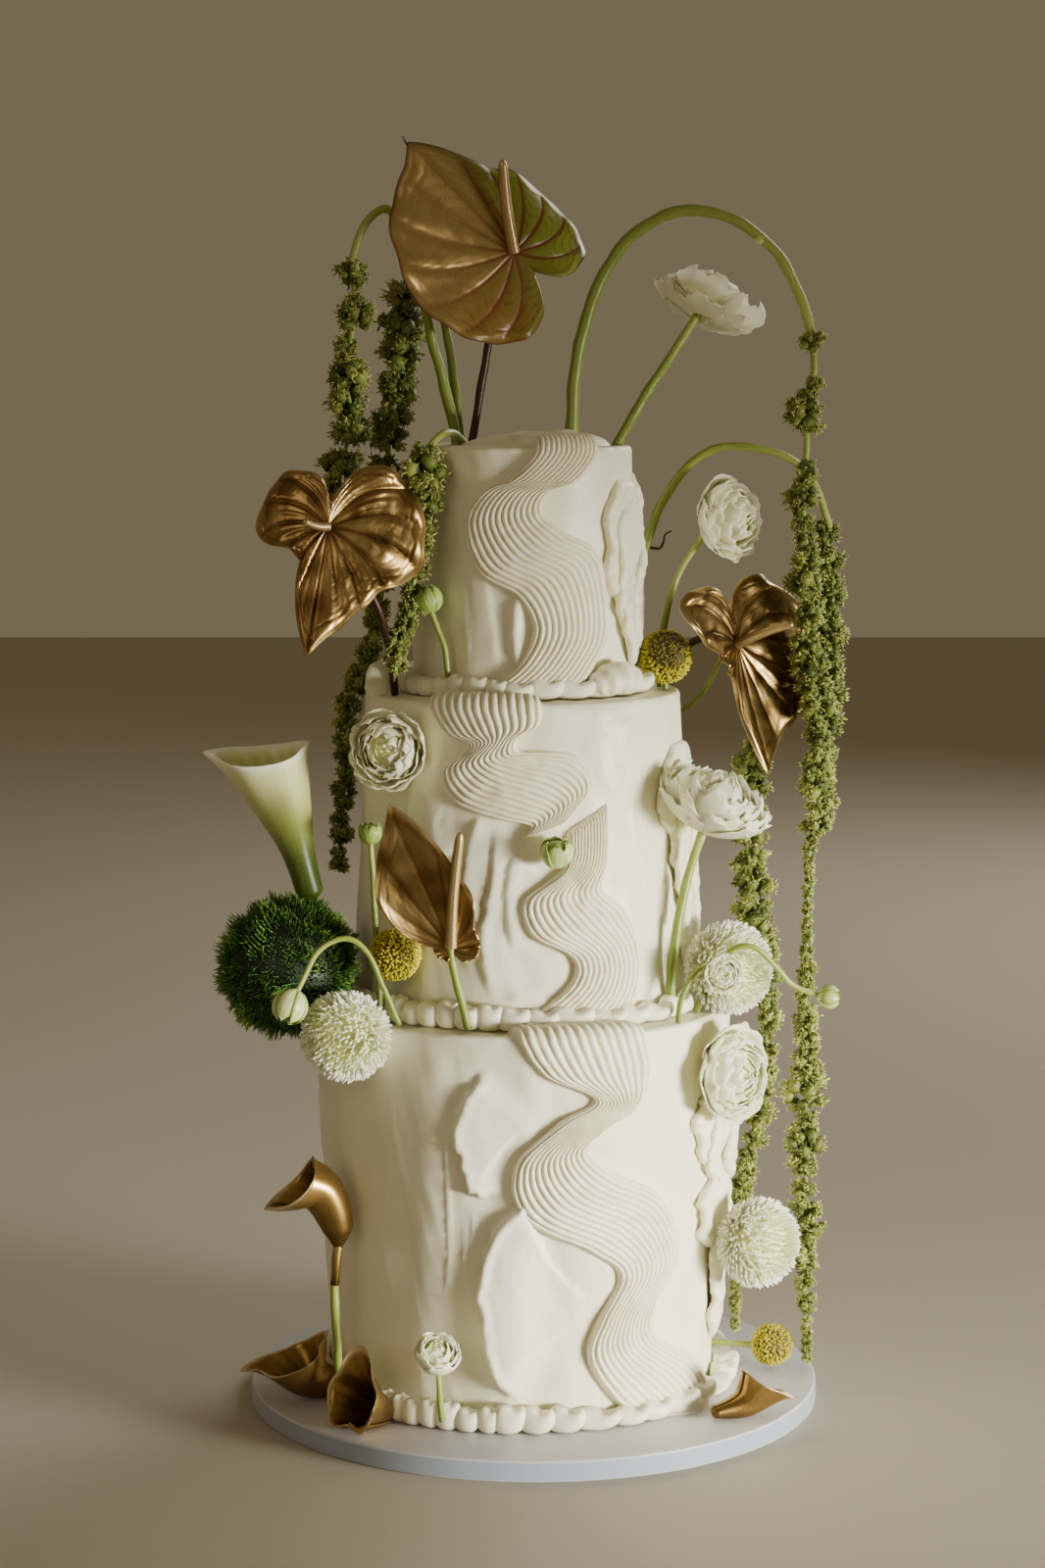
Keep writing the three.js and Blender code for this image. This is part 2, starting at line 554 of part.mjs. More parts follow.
function calla({ axis, mouth, foot, flare, lip, lipLong }) {
  const steps = 5;
  const rows = rowsAlong(axis, steps);
  const end = rows[steps];
  const towards = vec(...lip).addScaledVector(end.tangent, -vec(...lip).dot(end.tangent)).normalize();
  const lipAngle = Math.atan2(towards.dot(end.side), towards.dot(end.normal));
  const profile = [[0, 0]];
  for (let i = 0; i <= steps; i++) profile.push([1, i]);
  for (let i = steps; i >= 3; i--) profile.push([-1, i]);
  profile.push([0, 2.4]);
  const shell = profile.map(([share, step]) => [Math.abs(share) * (share < 0 ? 2 : 1), step]);
  return lathe(shell, 10, (p) => {
    const row = rows[Math.round(p.y)];
    const layer = Math.round(Math.hypot(p.x, p.z));
    const round = Math.atan2(p.z, p.x);
    const share = p.y / steps;
    const wide = mix(foot, mouth, Math.pow(share, flare));
    const radius = layer === 0 ? 0 : wide - (layer === 2 ? CALLA_WALL : 0);
    const lipShare = Math.pow(Math.max(0, Math.cos((round - lipAngle) / 2)), 6) * Math.pow(share, 4);
    const reach = radius * (1 + 0.35 * lipShare);
    const forward = lipLong * lipShare - 0.2 * mouth * Math.pow(share, 4) * (1 - lipShare);
    return row.at.clone()
      .addScaledVector(row.normal, Math.cos(round) * reach)
      .addScaledVector(row.side, Math.sin(round) * reach)
      .addScaledVector(row.tangent, layer === 0 ? 0 : forward);
  });
}

// Trailing amaranth. A row is a place on the strand and the strand's radius there; between two clusters
// the strand draws in by waist. The list runs from the icing up over the arch and down to the end.
const AMARANTH = {
  amaranth_right_arch: {
    waist: 0.3, root: [[20, 0, 588], [23, 0, 606], [25, 0, 641], [32, 0, 673], [44, 0, 703], [60, 0, 723],
      [83, 0, 736], [107, 0, 737], [128, 0, 729], [149, 0, 710], [164, 0, 682]], rootRadius: 3.2,
    strand: [[169, -1, 662, 9], [171, 0, 642, 4], [166, 0, 616, 13], [167, 0, 596, 4], [165, 0, 562, 13],
      [167, 0, 535, 5], [167, 0, 515, 14], [168, 0, 485, 13], [174, 0, 455, 13], [177, 0, 425, 12],
      [174, 0, 393, 10], [175, 0, 363, 8], [171, 0, 338, 3], [170, 0, 262, 5], [170, 0, 233, 9],
      [171, 0, 195, 11], [171, 0, 155, 11], [172, 0, 112, 10], [172, 0, 72, 7], [173, 0, 20, 2.5]],
  },
  amaranth_right_low: {
    waist: 0.25, root: [[60, 20, 440], [63, 20, 470], [65, 22, 505], [70, 25, 535], [81, 27, 562],
      [96, 27, 583], [116, 27, 594], [140, 27, 594], [161, 26, 586], [175, 26, 570]], rootRadius: 2.4,
    strand: [[184, 26, 545, 13], [182, 27, 528, 9], [186, 27, 500, 9], [184, 27, 474, 10], [186, 28, 446, 9],
      [184, 28, 421, 9], [183, 28, 397, 8], [184, 28, 370, 6], [184, 28, 352, 3]],
    branch: [[184, 28, 506, 4], [176, 42, 492, 6], [164, 55, 470, 9], [150, 60, 430, 8], [140, 60, 390, 11],
      [137, 60, 345, 15], [141, 60, 308, 14], [149, 60, 262, 8], [151, 60, 221, 7], [146, 60, 165, 10],
      [134, 60, 108, 7], [131, 60, 20, 2.5]],
  },
  amaranth_left_arch: {
    waist: 0.35, root: [[-47, 5, 588], [-48, 5, 600], [-54, 4, 629], [-63, 0, 664], [-69, -6, 700],
      [-77, -10, 726], [-89, -15, 738], [-101, -17, 730], [-107, -18, 716]], rootRadius: 2.6,
    strand: [[-110, -19, 704, 12], [-108, -20, 690, 4], [-109, -20, 672, 15], [-112, -20, 655, 6],
      [-116, -20, 641, 13], [-112, -20, 624, 13], [-111, -20, 605, 13], [-118, -20, 583, 15],
      [-116, -20, 561, 13], [-115, -20, 543, 11], [-115, -20, 528, 5]],
  },
  amaranth_left_long: {
    waist: 0.2, root: [[-43, 16, 588], [-45, 16, 600], [-50, 17, 641], [-56, 18, 676], [-63, 20, 698],
      [-72, 20, 705]], rootRadius: 2.6,
    strand: [[-76, 20, 690, 11], [-81, 20, 669, 13], [-82, 20, 648, 15], [-87, 20, 626, 13], [-90, 20, 603, 13],
      [-90, 20, 580, 11], [-91, 20, 556, 10], [-93, 20, 532, 10], [-94, 20, 508, 9], [-98, 21, 483, 8],
      [-106, 22, 459, 8], [-113, 22, 438, 8], [-117, 22, 416, 8], [-119, 22, 385, 7], [-121, 22, 354, 7],
      [-123, 20, 330, 5]],
  },
  amaranth_left_edge: {
    waist: 0.2, root: [[-40, -16, 590], [-43, -20, 598], [-49, -32, 604], [-56, -46, 603]], rootRadius: 3,
    strand: [[-64, -56, 594, 10], [-66, -59, 578, 12], [-67, -58, 562, 11], [-70, -56, 543, 9],
      [-71, -56, 524, 8], [-74, -57, 505, 8], [-79, -58, 486, 7], [-83, -58, 468, 7], [-84, -58, 455, 4]],
  },
};

// Radius along the list of rows, drawn in between two thick ones
function strandWidth(rows, waist) {
  return (share) => {
    const place = share * (rows.length - 1);
    const from = Math.min(Math.floor(place + 1e-6), rows.length - 2);
    const part = place - from;
    const plain = mix(rows[from][3], rows[from + 1][3], part);
    return plain * (1 - waist * Math.pow(Math.sin(Math.PI * part), 2));
  };
}

function strand(rows, waist) {
  return bar(rows, strandWidth(rows, waist), 5, (rows.length - 1) * 2);
}

function amaranth({ root, rootRadius, strand: rows, branch, waist }) {
  const bare = root.map((p) => [...p, rootRadius]);
  const whole = bar([...bare, rows[0]], () => rootRadius, 5, bare.length).add(strand(rows, waist));
  return branch ? whole.add(strand(branch, waist)) : whole;
}

// The whole cake, each piece cut clear of the ones before it
const shapes = [['board', board(), BOARD_WHITE]];
for (const name of ['bottom', 'middle', 'top']) shapes.push([`tier_${name}`, tier(TIERS[name]), ICING]);
for (const [name, wave] of Object.entries(WAVES)) {
  const shape = combedWave(wave);
  shapes.push([name, name === 'wave_top' ? shape.add(mound()) : shape, ICING]);
}
for (const [name, sizes] of Object.entries(BORDERS)) shapes.push([name, border(sizes), ICING]);
for (const [name, { tier: tierSizes, petals }] of Object.entries(KNIFE_PETALS)) {
  const laid = petals.map((petal) => knifePetal(tierSizes, petal));
  shapes.push([name, laid.reduce((joined, petal) => joined.add(petal)), ICING]);
}
for (const [name, sizes] of Object.entries(MUMS)) shapes.push([name, mum(sizes), MUM_WHITE]);
for (const [name, sizes] of Object.entries(HEART_FLOWERS)) shapes.push([name, heartFlower(sizes), sizes.look]);
for (const [name, sizes] of Object.entries(RANUNCULUS)) shapes.push([name, ranunculus(sizes), PETAL_WHITE]);
for (const [name, sizes] of Object.entries(BUTTONS)) shapes.push([name, button(sizes), BUTTON_YELLOW]);
for (const [name, sizes] of Object.entries(BUDS)) shapes.push([name, bud(sizes), BUD_GREEN]);
shapes.push(['moss_ball', mossBall(MOSS_BALL), MOSS_GREEN]);
for (const [name, sizes] of Object.entries(CALLAS)) {
  const flower = calla(sizes);
  const whole = sizes.stem ? flower.add(stem(sizes.stem, 2.6)) : flower;
  shapes.push([name, whole, sizes.look]);
}
for (const [name, sizes] of Object.entries(AMARANTH)) shapes.push([name, amaranth(sizes), TASSEL_GREEN]);
for (const [name, shape, look] of shapes) addPiece(name, shape, look);

export default cake;
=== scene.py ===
import math

import bpy
import numpy as np
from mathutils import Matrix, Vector


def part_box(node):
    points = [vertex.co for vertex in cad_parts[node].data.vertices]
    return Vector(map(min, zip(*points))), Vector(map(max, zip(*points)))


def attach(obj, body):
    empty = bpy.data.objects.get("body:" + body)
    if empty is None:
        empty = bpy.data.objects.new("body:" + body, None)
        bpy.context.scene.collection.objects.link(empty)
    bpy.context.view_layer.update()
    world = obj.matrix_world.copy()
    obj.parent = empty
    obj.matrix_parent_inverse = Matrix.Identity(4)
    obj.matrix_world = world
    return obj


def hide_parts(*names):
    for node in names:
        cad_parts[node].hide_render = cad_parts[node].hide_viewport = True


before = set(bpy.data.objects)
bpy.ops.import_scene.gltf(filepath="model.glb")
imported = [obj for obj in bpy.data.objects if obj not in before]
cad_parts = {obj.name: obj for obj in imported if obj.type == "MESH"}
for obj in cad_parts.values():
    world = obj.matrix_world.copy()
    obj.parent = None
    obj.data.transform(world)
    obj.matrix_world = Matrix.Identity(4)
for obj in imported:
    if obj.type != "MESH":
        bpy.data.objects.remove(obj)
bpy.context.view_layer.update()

# Camera
# The photograph's view: a long lens a little above the cake's middle, looking down slightly.
# It comes first because every front detail below is judged from here.
CAMERA_PLACE = (-0.007, -2.05, 0.642)
CAMERA_LENS_MM = 76.5
LONG_SIDE_MM = 36
LOOKS_DOWN_DEGREES = 7.08

camera_data = bpy.data.cameras.new("camera")
camera_data.lens = CAMERA_LENS_MM
camera_data.sensor_width = LONG_SIDE_MM
camera = bpy.data.objects.new("camera", camera_data)
bpy.context.scene.collection.objects.link(camera)
camera.location = CAMERA_PLACE
camera.rotation_euler = (math.radians(90 - LOOKS_DOWN_DEGREES), 0, 0)
bpy.context.scene.camera = camera

# Cake drum
# Thick round card under a smooth white covering, with a silver-white satin ribbon glued round the edge.
# A thin dark line shows where the ribbon ends just under the top.
MM = 0.001
drum_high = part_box("board")[1]
DRUM_RADIUS = drum_high.x
DRUM_TOP = drum_high.z
COVERING_EDGE = 1.4 * MM
RIBBON_STANDS = 0.35 * MM
RIBBON_BELOW_TOP = 1.3 * MM
DRUM_SIDES = 192
SMOOTH_BELOW = math.radians(50)
MOTTLE = 0.16  # how far the grain shifts the tint


def linear(code, alpha=1.0):
    """An sRGB hex colour as the linear values that Blender's sockets take."""
    parts = [int(code[i:i + 2], 16) / 255 for i in (0, 2, 4)]
    return [c / 12.92 if c <= 0.04045 else ((c + 0.055) / 1.055) ** 2.4 for c in parts] + [alpha]


def add_node(tree, kind, settings, *links):
    """Adds a node, sets its properties and sockets, and links (socket, node, output) into it."""
    node = tree.nodes.new(kind)
    for key, value in settings.items():
        if isinstance(key, str) and hasattr(node, key):
            setattr(node, key, value)
        else:
            node.inputs[key].default_value = value
    for socket, source, output in links:
        tree.links.new(source.outputs[output], node.inputs[socket])
    return node


def surface(name, colours, roughness, grain_mm=1.0, grain_depth_mm=0.1, **sockets):
    """A material whose colour runs through the list by each point's tint, with a fine grain in relief."""
    material = bpy.data.materials.new(name)
    material.use_nodes = True
    tree = material.node_tree
    shader = tree.nodes["Principled BSDF"]
    shader.inputs["Roughness"].default_value = roughness
    for socket, value in sockets.items():
        shader.inputs[socket.replace("_", " ")].default_value = value
    place = add_node(tree, "ShaderNodeTexCoord", {})
    grain = add_node(
        tree, "ShaderNodeTexNoise", {"Scale": 1 / (grain_mm * MM), "Detail": 3.0, "Roughness": 0.6},
        ("Vector", place, "Object"),
    )
    relief = add_node(
        tree, "ShaderNodeBump", {"Strength": 0.8, "Distance": grain_depth_mm * MM}, ("Height", grain, 0)
    )
    tint = add_node(tree, "ShaderNodeAttribute", {"attribute_name": "tint"})
    mottle = add_node(
        tree, "ShaderNodeMath", {"operation": "MULTIPLY_ADD", 1: MOTTLE, 2: -MOTTLE / 2}, (0, grain, 0)
    )
    mixed = add_node(tree, "ShaderNodeMath", {"operation": "ADD"}, (0, tint, "Fac"), (1, mottle, 0))
    ramp = add_node(tree, "ShaderNodeValToRGB", {}, (0, mixed, 0))
    stops = ramp.color_ramp.elements
    for _ in colours[2:]:
        stops.new(0.5)
    for i, code in enumerate(colours):
        stops[i].position = i / (len(colours) - 1)
        stops[i].color = linear(code)
    tree.links.new(ramp.outputs[0], shader.inputs["Base Color"])
    tree.links.new(relief.outputs[0], shader.inputs["Normal"])
    return material


def add_piece(name, points_mm, faces, material, nodes=(), tint=None):
    """A smooth mesh piece from points in millimetres and groups of faces, riding on the cake."""
    points = np.asarray(points_mm, float).reshape(-1, 3) * MM
    corners = np.concatenate([np.asarray(group).ravel() for group in faces])
    sizes = np.concatenate([np.full(len(group), np.shape(group)[1]) for group in faces])
    mesh = bpy.data.meshes.new(name)
    mesh.vertices.add(len(points))
    mesh.vertices.foreach_set("co", points.ravel())
    mesh.loops.add(len(corners))
    mesh.loops.foreach_set("vertex_index", corners)
    mesh.polygons.add(len(sizes))
    mesh.polygons.foreach_set("loop_start", np.concatenate([[0], np.cumsum(sizes)[:-1]]))
    mesh.polygons.foreach_set("loop_total", sizes)
    mesh.polygons.foreach_set("use_smooth", np.ones(len(sizes), bool))
    mesh.update(calc_edges=True)
    shade = mesh.attributes.new("tint", "FLOAT", "POINT")
    values = np.full(len(points), 0.5) if tint is None else np.asarray(tint, float).ravel()
    shade.data.foreach_set("value", values)
    piece = bpy.data.objects.new(name, mesh)
    bpy.context.scene.collection.objects.link(piece)
    return dress(piece, material, nodes)


def dress(piece, material, nodes=()):
    """Gives a piece its material, its body and the solids that it stands for."""
    piece.data.materials.clear()
    piece.data.materials.append(material)
    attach(piece, "root")
    if nodes:
        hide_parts(*nodes)
    return piece


# Satin ribbon and smooth foil-backed paper: the ribbon is cooler and glossier than the covering.
drum_covering = surface("drum covering paper", ["c2c0c8", "dad9df"], 0.42, 0.8, 0.03, Coat_Weight=0.15)
satin_ribbon = surface("satin ribbon", ["99a1b2", "c6cbd8"], 0.3, 0.5, 0.02, Sheen_Weight=0.3)

bpy.ops.object.select_all(action="DESELECT")
bpy.ops.mesh.primitive_cylinder_add(
    vertices=DRUM_SIDES, radius=DRUM_RADIUS, depth=DRUM_TOP, location=(0, 0, DRUM_TOP / 2)
)
drum = bpy.context.object
drum.name = "drum"
bevel = drum.modifiers.new("soft edge", "BEVEL")
bevel.width = COVERING_EDGE
bevel.segments = 3
bevel.limit_method = "ANGLE"
bpy.ops.object.modifier_apply(modifier=bevel.name)
bpy.ops.object.transform_apply(location=True)
bpy.ops.object.shade_smooth_by_angle(angle=SMOOTH_BELOW)
dress(drum, drum_covering, ["board"])

bpy.ops.mesh.primitive_cylinder_add(
    vertices=DRUM_SIDES, radius=DRUM_RADIUS + RIBBON_STANDS, depth=DRUM_TOP - 2 * RIBBON_BELOW_TOP,
    end_fill_type="NOTHING", location=(0, 0, DRUM_TOP / 2),
)
ribbon = bpy.context.object
ribbon.name = "drum_ribbon"
wall = ribbon.modifiers.new("ribbon's thickness", "SOLIDIFY")
wall.thickness = RIBBON_STANDS * 0.9
bpy.ops.object.modifier_apply(modifier=wall.name)
bpy.ops.object.transform_apply(location=True)
bpy.ops.object.shade_smooth_by_angle(angle=SMOOTH_BELOW)
dress(ribbon, satin_ribbon)

# Iced tiers
# Sponge under a thick coat of ivory buttercream, smoothed with a palette knife that leaves slow waves,
# thin raised lines where its edge lifted, and thick swept patches with one torn lip each.
CAKE_X = -7.0
TIERS = {
    "bottom": {"foot": 13.0, "top": 253.5, "foot_radius": 119.0, "top_radius": 130.0},
    "middle": {"foot": 253.5, "top": 446.5, "foot_radius": 104.0, "top_radius": 97.0},
    "top": {"foot": 446.5, "top": 596.5, "foot_radius": 67.0, "top_radius": 67.0},
}
RIM_ROUND = 3.0
ICING_WAVE = 0.7
SEAT = 0.5
FRONT_STEP = 1.8  # distance between points on the wall that the photo shows
BACK_STEP = 3.4

# Knife marks as (degrees round from the front, millimetres below the rim). A patch is a swept layer that
# stands up at its line and fades over reach to the right of the way the line runs.
KNIFE_MARKS = {
    "bottom": [
        {"line": [(-5, 95), (-14, 93), (-16, 78), (-18.5, 60), (-14.6, 36), (-8.5, 18)], "high": 4.8,
         "reach": 34, "torn": 1.1},
        {"line": [(1.5, 228), (-8.9, 204), (-11.4, 168), (-12.4, 155), (-8.6, 122), (-1.5, 103.6), (4, 99)],
         "high": 6.6, "reach": 46, "torn": 0.5},
        {"line": [(-27.6, 66), (-20.6, 64), (-20.4, 90), (-21.4, 154), (-27.9, 157)], "high": 1.3},
        {"line": [(-14, 100), (-13.4, 120), (-15.8, 134), (-14.4, 160), (-12, 176)], "high": 1.2},
        {"line": [(-16.5, 108), (-16, 140), (-18.5, 154), (-21.4, 156)], "high": 1.1},
        {"line": [(-45, 60), (-44, 90)], "high": 0.7},
        {"line": [(-38, 40), (-37, 74)], "high": 0.6},
        {"line": [(33, 35), (38, 41), (41, 38), (49, 42)], "high": -0.9},
        {"line": [(2, 60), (4, 88)], "high": 0.5},
        {"line": [(4, 118), (-1, 150), (-6, 168)], "high": 0.4},
        {"line": [(-9, 160), (-7, 205), (-3, 226)], "high": 0.8},
        {"line": [(-70, 70), (-64, 130), (-68, 200)], "high": 0.8},
    ],
    "middle": [
        {"line": [(-19, 84), (-31, 92), (-42, 78), (-43, 62), (-40, 42), (-28, 34)], "high": 2.4, "reach": 26,
         "torn": 0.3},
        {"line": [(-19, 163), (-21, 120), (-19, 84), (-15, 64)], "high": 2.0, "reach": 14, "torn": 0.5},
        {"line": [(-11, 176), (-14, 140), (-10.5, 104), (-9, 70)], "high": 2.2, "reach": 17, "torn": 0.6},
        {"line": [(-3, 150), (-5.5, 120), (-4, 96), (1, 86)], "high": 1.8, "reach": 22, "torn": 0.4},
        {"line": [(42, 8), (40, 20), (35, 34), (37, 44), (30, 62)], "high": 2.4, "reach": 24, "torn": 2.6},
        {"line": [(46, 46), (42, 60), (44, 96)], "high": 1.0},
        {"line": [(64, 150), (57, 134), (58, 116), (62, 104)], "high": 1.8, "reach": 16, "torn": 0.5},
        {"line": [(48, 120), (47, 86), (52, 50)], "high": 0.8},
        {"line": [(-44, 120), (-46, 60), (-44, 20)], "high": 1.0},
        {"line": [(18, 5), (34, 8), (52, 4)], "high": 1.2},
        {"line": [(-6, 168), (10, 176), (14, 180)], "high": 1.6, "reach": 10, "torn": 0.6},
    ],
    "top": [
        {"line": [(2, 140), (-4.5, 124), (-5.5, 100), (-2, 84)], "high": 3.4, "reach": 8, "torn": 0.3},
        {"line": [(-34, 46), (-32, 78), (-28, 138)], "high": 0.9},
        {"line": [(-37, 60), (-36, 84)], "high": 0.7},
        {"line": [(-18, 70), (-15, 100), (-11, 136)], "high": 1.0, "reach": 12, "torn": 0.2},
        {"line": [(-52, 20), (-49, 80), (-53, 130)], "high": 0.8},
        {"line": [(62, 20), (57, 60), (60, 96)], "high": 1.0},
        {"line": [(-30, 4), (0, 6), (30, 4)], "high": -0.5},
    ],
}


def soft_noise(points, size, seed):
    """Soft random bumps of about that size in millimetres, mostly between -1 and 1."""
    draw = np.random.default_rng(seed)
    total = np.zeros(points.shape[:-1])
    for _ in range(12):
        direction = draw.normal(size=3)
        direction *= math.tau / size * draw.uniform(0.6, 1.6) / np.linalg.norm(direction)
        total += np.sin(points @ direction + draw.uniform(0, math.tau))
    return total / 3.4


def spline(rows, shares):
    """Rows of numbers along a smooth curve through the given rows, at shares from 0 to 1."""
    rows = np.asarray(rows, float)
    first, last = 2 * rows[0] - rows[1], 2 * rows[-1] - rows[-2]
    padded = np.vstack([first, rows, last])
    place = np.clip(np.asarray(shares, float), 0, 1) * (len(rows) - 1)
    step = np.minimum(place.astype(int), len(rows) - 2)
    t = (place - step)[..., None]
    a, b, c, d = (padded[step + i] for i in range(4))
    slope_in, slope_out = (c - a) / 2, (d - b) / 2
    return (b + slope_in * t + (3 * (c - b) - 2 * slope_in - slope_out) * t ** 2
            + (2 * (b - c) + slope_in + slope_out) * t ** 3)


def smoothstep(low, high, value):
    t = np.clip((value - low) / (high - low), 0, 1)
    return t * t * (3 - 2 * t)


def knife_wave(angle, share):
    """The slow unevenness of a smoothed wall, none at the foot and the rim."""
    fade = np.sin(math.pi * np.clip(share, 0, 1))
    return ICING_WAVE * fade * (np.sin(3 * angle + 5 * share) + 0.6 * np.sin(7 * angle - 4 * share + 1))


def knife_marks(marks, turn, down, radius):
    """Height of the knife's marks at each point of a wall, in millimetres."""
    flat = np.stack([np.radians(turn) * radius, down, np.zeros_like(down)], axis=-1)
    high = np.zeros_like(down)
    wander = soft_noise(flat, 9, 5) + 0.6 * soft_noise(flat, 3.5, 6)
    for mark in marks:
        line = spline(mark["line"], np.linspace(0, 1, 10 * len(mark["line"])))
        line[:, 0] = np.radians(line[:, 0]) * radius
        near = np.all([
            flat[..., i] > line[:, i].min() - 70 for i in (0, 1)
        ] + [flat[..., i] < line[:, i].max() + 70 for i in (0, 1)], axis=0)
        here = flat[near][:, :2]
        away = np.full(len(here), 1e9)
        side = np.ones(len(here))
        share = np.zeros(len(here))
        for i, (start, end) in enumerate(zip(line[:-1], line[1:])):
            run = end - start
            t = np.clip((here - start) @ run / (run @ run), 0, 1)
            gap = here - start - t[:, None] * run
            far = np.hypot(gap[:, 0], gap[:, 1])
            closer = far < away
            away[closer] = far[closer]
            side[closer] = np.sign(run[0] * gap[closer, 1] - run[1] * gap[closer, 0])
            share[closer] = (i + t[closer]) / (len(line) - 1)
        ends = smoothstep(0, 0.16, share) * smoothstep(0, 0.16, 1 - share)
        if "reach" in mark:
            away = side * away + mark["torn"] * wander[near]
            inside = np.exp(-(np.maximum(away, 0) / mark["reach"]) ** 2)
            lip = 1 + 0.3 * np.exp(-((away - 3) / 2.5) ** 2)
            high[near] += mark["high"] * ends * inside * lip * smoothstep(-1.6, 0.5, away)
        else:
            high[near] += mark["high"] * ends * np.exp(-((away + 0.4 * wander[near]) / 0.8) ** 2)
    return high


def ring_faces(rings, corners, copies=1):
    """Quads round stacks of rings, with a face over each end."""
    index = np.arange(copies * rings * corners).reshape(copies, rings, corners)
    beside = np.roll(index, -1, axis=2)
    sides = np.stack([index[:, :-1], beside[:, :-1], beside[:, 1:], index[:, 1:]], axis=-1)
    return [sides.reshape(-1, 4), np.concatenate([index[:, 0, ::-1], index[:, -1]])]


def iced_tier(name, sizes):
    foot, top, foot_radius, top_radius = sizes.values()
    low = foot + SEAT
    height = top - low
    front = np.arange(-100, 100, math.degrees(FRONT_STEP / foot_radius))
    back = np.arange(100, 260, math.degrees(BACK_STEP / foot_radius))
    turn = np.radians(np.concatenate([front, back]))
    wall_rows = np.linspace(height, RIM_ROUND, int(height / FRONT_STEP / 1.2))
    round_over = np.linspace(0, math.pi / 2, 7)[1:]
    rings = []
    heights = []
    for down in wall_rows:
        share = 1 - down / height
        radius = top_radius * share + foot_radius * (1 - share) + knife_wave(turn, share)
        rings.append(np.stack([radius, np.full_like(turn, top - down)], axis=-1))
        heights.append(np.full_like(turn, down))
    for step in round_over:
        radius = top_radius - RIM_ROUND * (1 - math.cos(step))
        rings.append(np.tile([radius, top - RIM_ROUND * (1 - math.sin(step))], (len(turn), 1)))
        heights.append(np.full_like(turn, RIM_ROUND * (1 - math.sin(step))))
    for radius in np.linspace(top_radius - RIM_ROUND, 2, 24)[1:]:
        rings.append(np.tile([radius, top], (len(turn), 1)))
        heights.append(np.full_like(turn, -1.0))
    rings = np.array(rings)
    down = np.array(heights)
    angle = np.broadcast_to(turn, down.shape)
    rough = np.stack([np.cos(angle) * rings[..., 0], np.sin(angle) * rings[..., 0], rings[..., 1]], axis=-1)
    on_wall = down >= 0
    marks = knife_marks(KNIFE_MARKS[name], np.degrees(angle), down, top_radius)
    calm = smoothstep(0, 6, down)
    swept = soft_noise(rough * [1, 1, 0.4], 42, 11) * 1.0 + soft_noise(rough * [1, 1, 0.3], 11, 12) * 0.16
    pitted = np.minimum(0, soft_noise(rough, 5, 13) + 0.9) * 0.25
    lift = np.where(on_wall, marks * smoothstep(-1, 4, down) + (swept + pitted) * (0.3 + 0.7 * calm), 0)
    lift += np.where(on_wall, soft_noise(rough, 14, 14) * 0.35 * (1 - calm), 0)
    rings[..., 0] += np.maximum(lift, -1.2)
    rings[..., 1] += np.where(on_wall, 0, 0.4 * soft_noise(rough, 24, 15) + 0.12 * soft_noise(rough, 6, 16))
    points = np.stack([
        CAKE_X + np.sin(angle) * rings[..., 0], -np.cos(angle) * rings[..., 0], rings[..., 1]
    ], axis=-1)
    # Painted light and shade: raised knife marks are a little lighter and dents darker; the slow bumps of
    # tint are the icing's own uneven tone.
    tint = 0.62 + 0.05 * soft_noise(rough, 45, 17) + 0.05 * np.clip(marks, -1, 3)
    add_piece(f"icing_{name}", points, ring_faces(*down.shape), buttercream, [f"tier_{name}"], tint)


# Buttercream: butter and sugar, whipped and spread. It is ivory, softly shiny where the knife pressed it,
# and light goes a little way into it; the tan in hollows is painted shade. The grain is sugar and tiny air
# holes.
buttercream = surface(
    "ivory buttercream", ["d6c392", "ece7cc", "f7f6e6"], 0.42, 1.6, 0.09,
    Subsurface_Weight=0.25, Subsurface_Radius=(1.0, 0.75, 0.5), Subsurface_Scale=0.003, IOR=1.46,
)
for tier_name, tier_sizes in TIERS.items():
    iced_tier(tier_name, tier_sizes)

# Combed waves
# Thick ribbons of the same buttercream, drawn down each tier with a toothed comb that is swung from side
# to side. Each has fourteen fine ridges that crowd together on the inner side of every bend.
FOOT_HOLLOW = 10.0
COMB_RIDGES = 14
POINTS_PER_RIDGE = 6
RIDGE_HIGH = 2.0
WAVE_STEP = 1.7  # millimetres between two rows of points
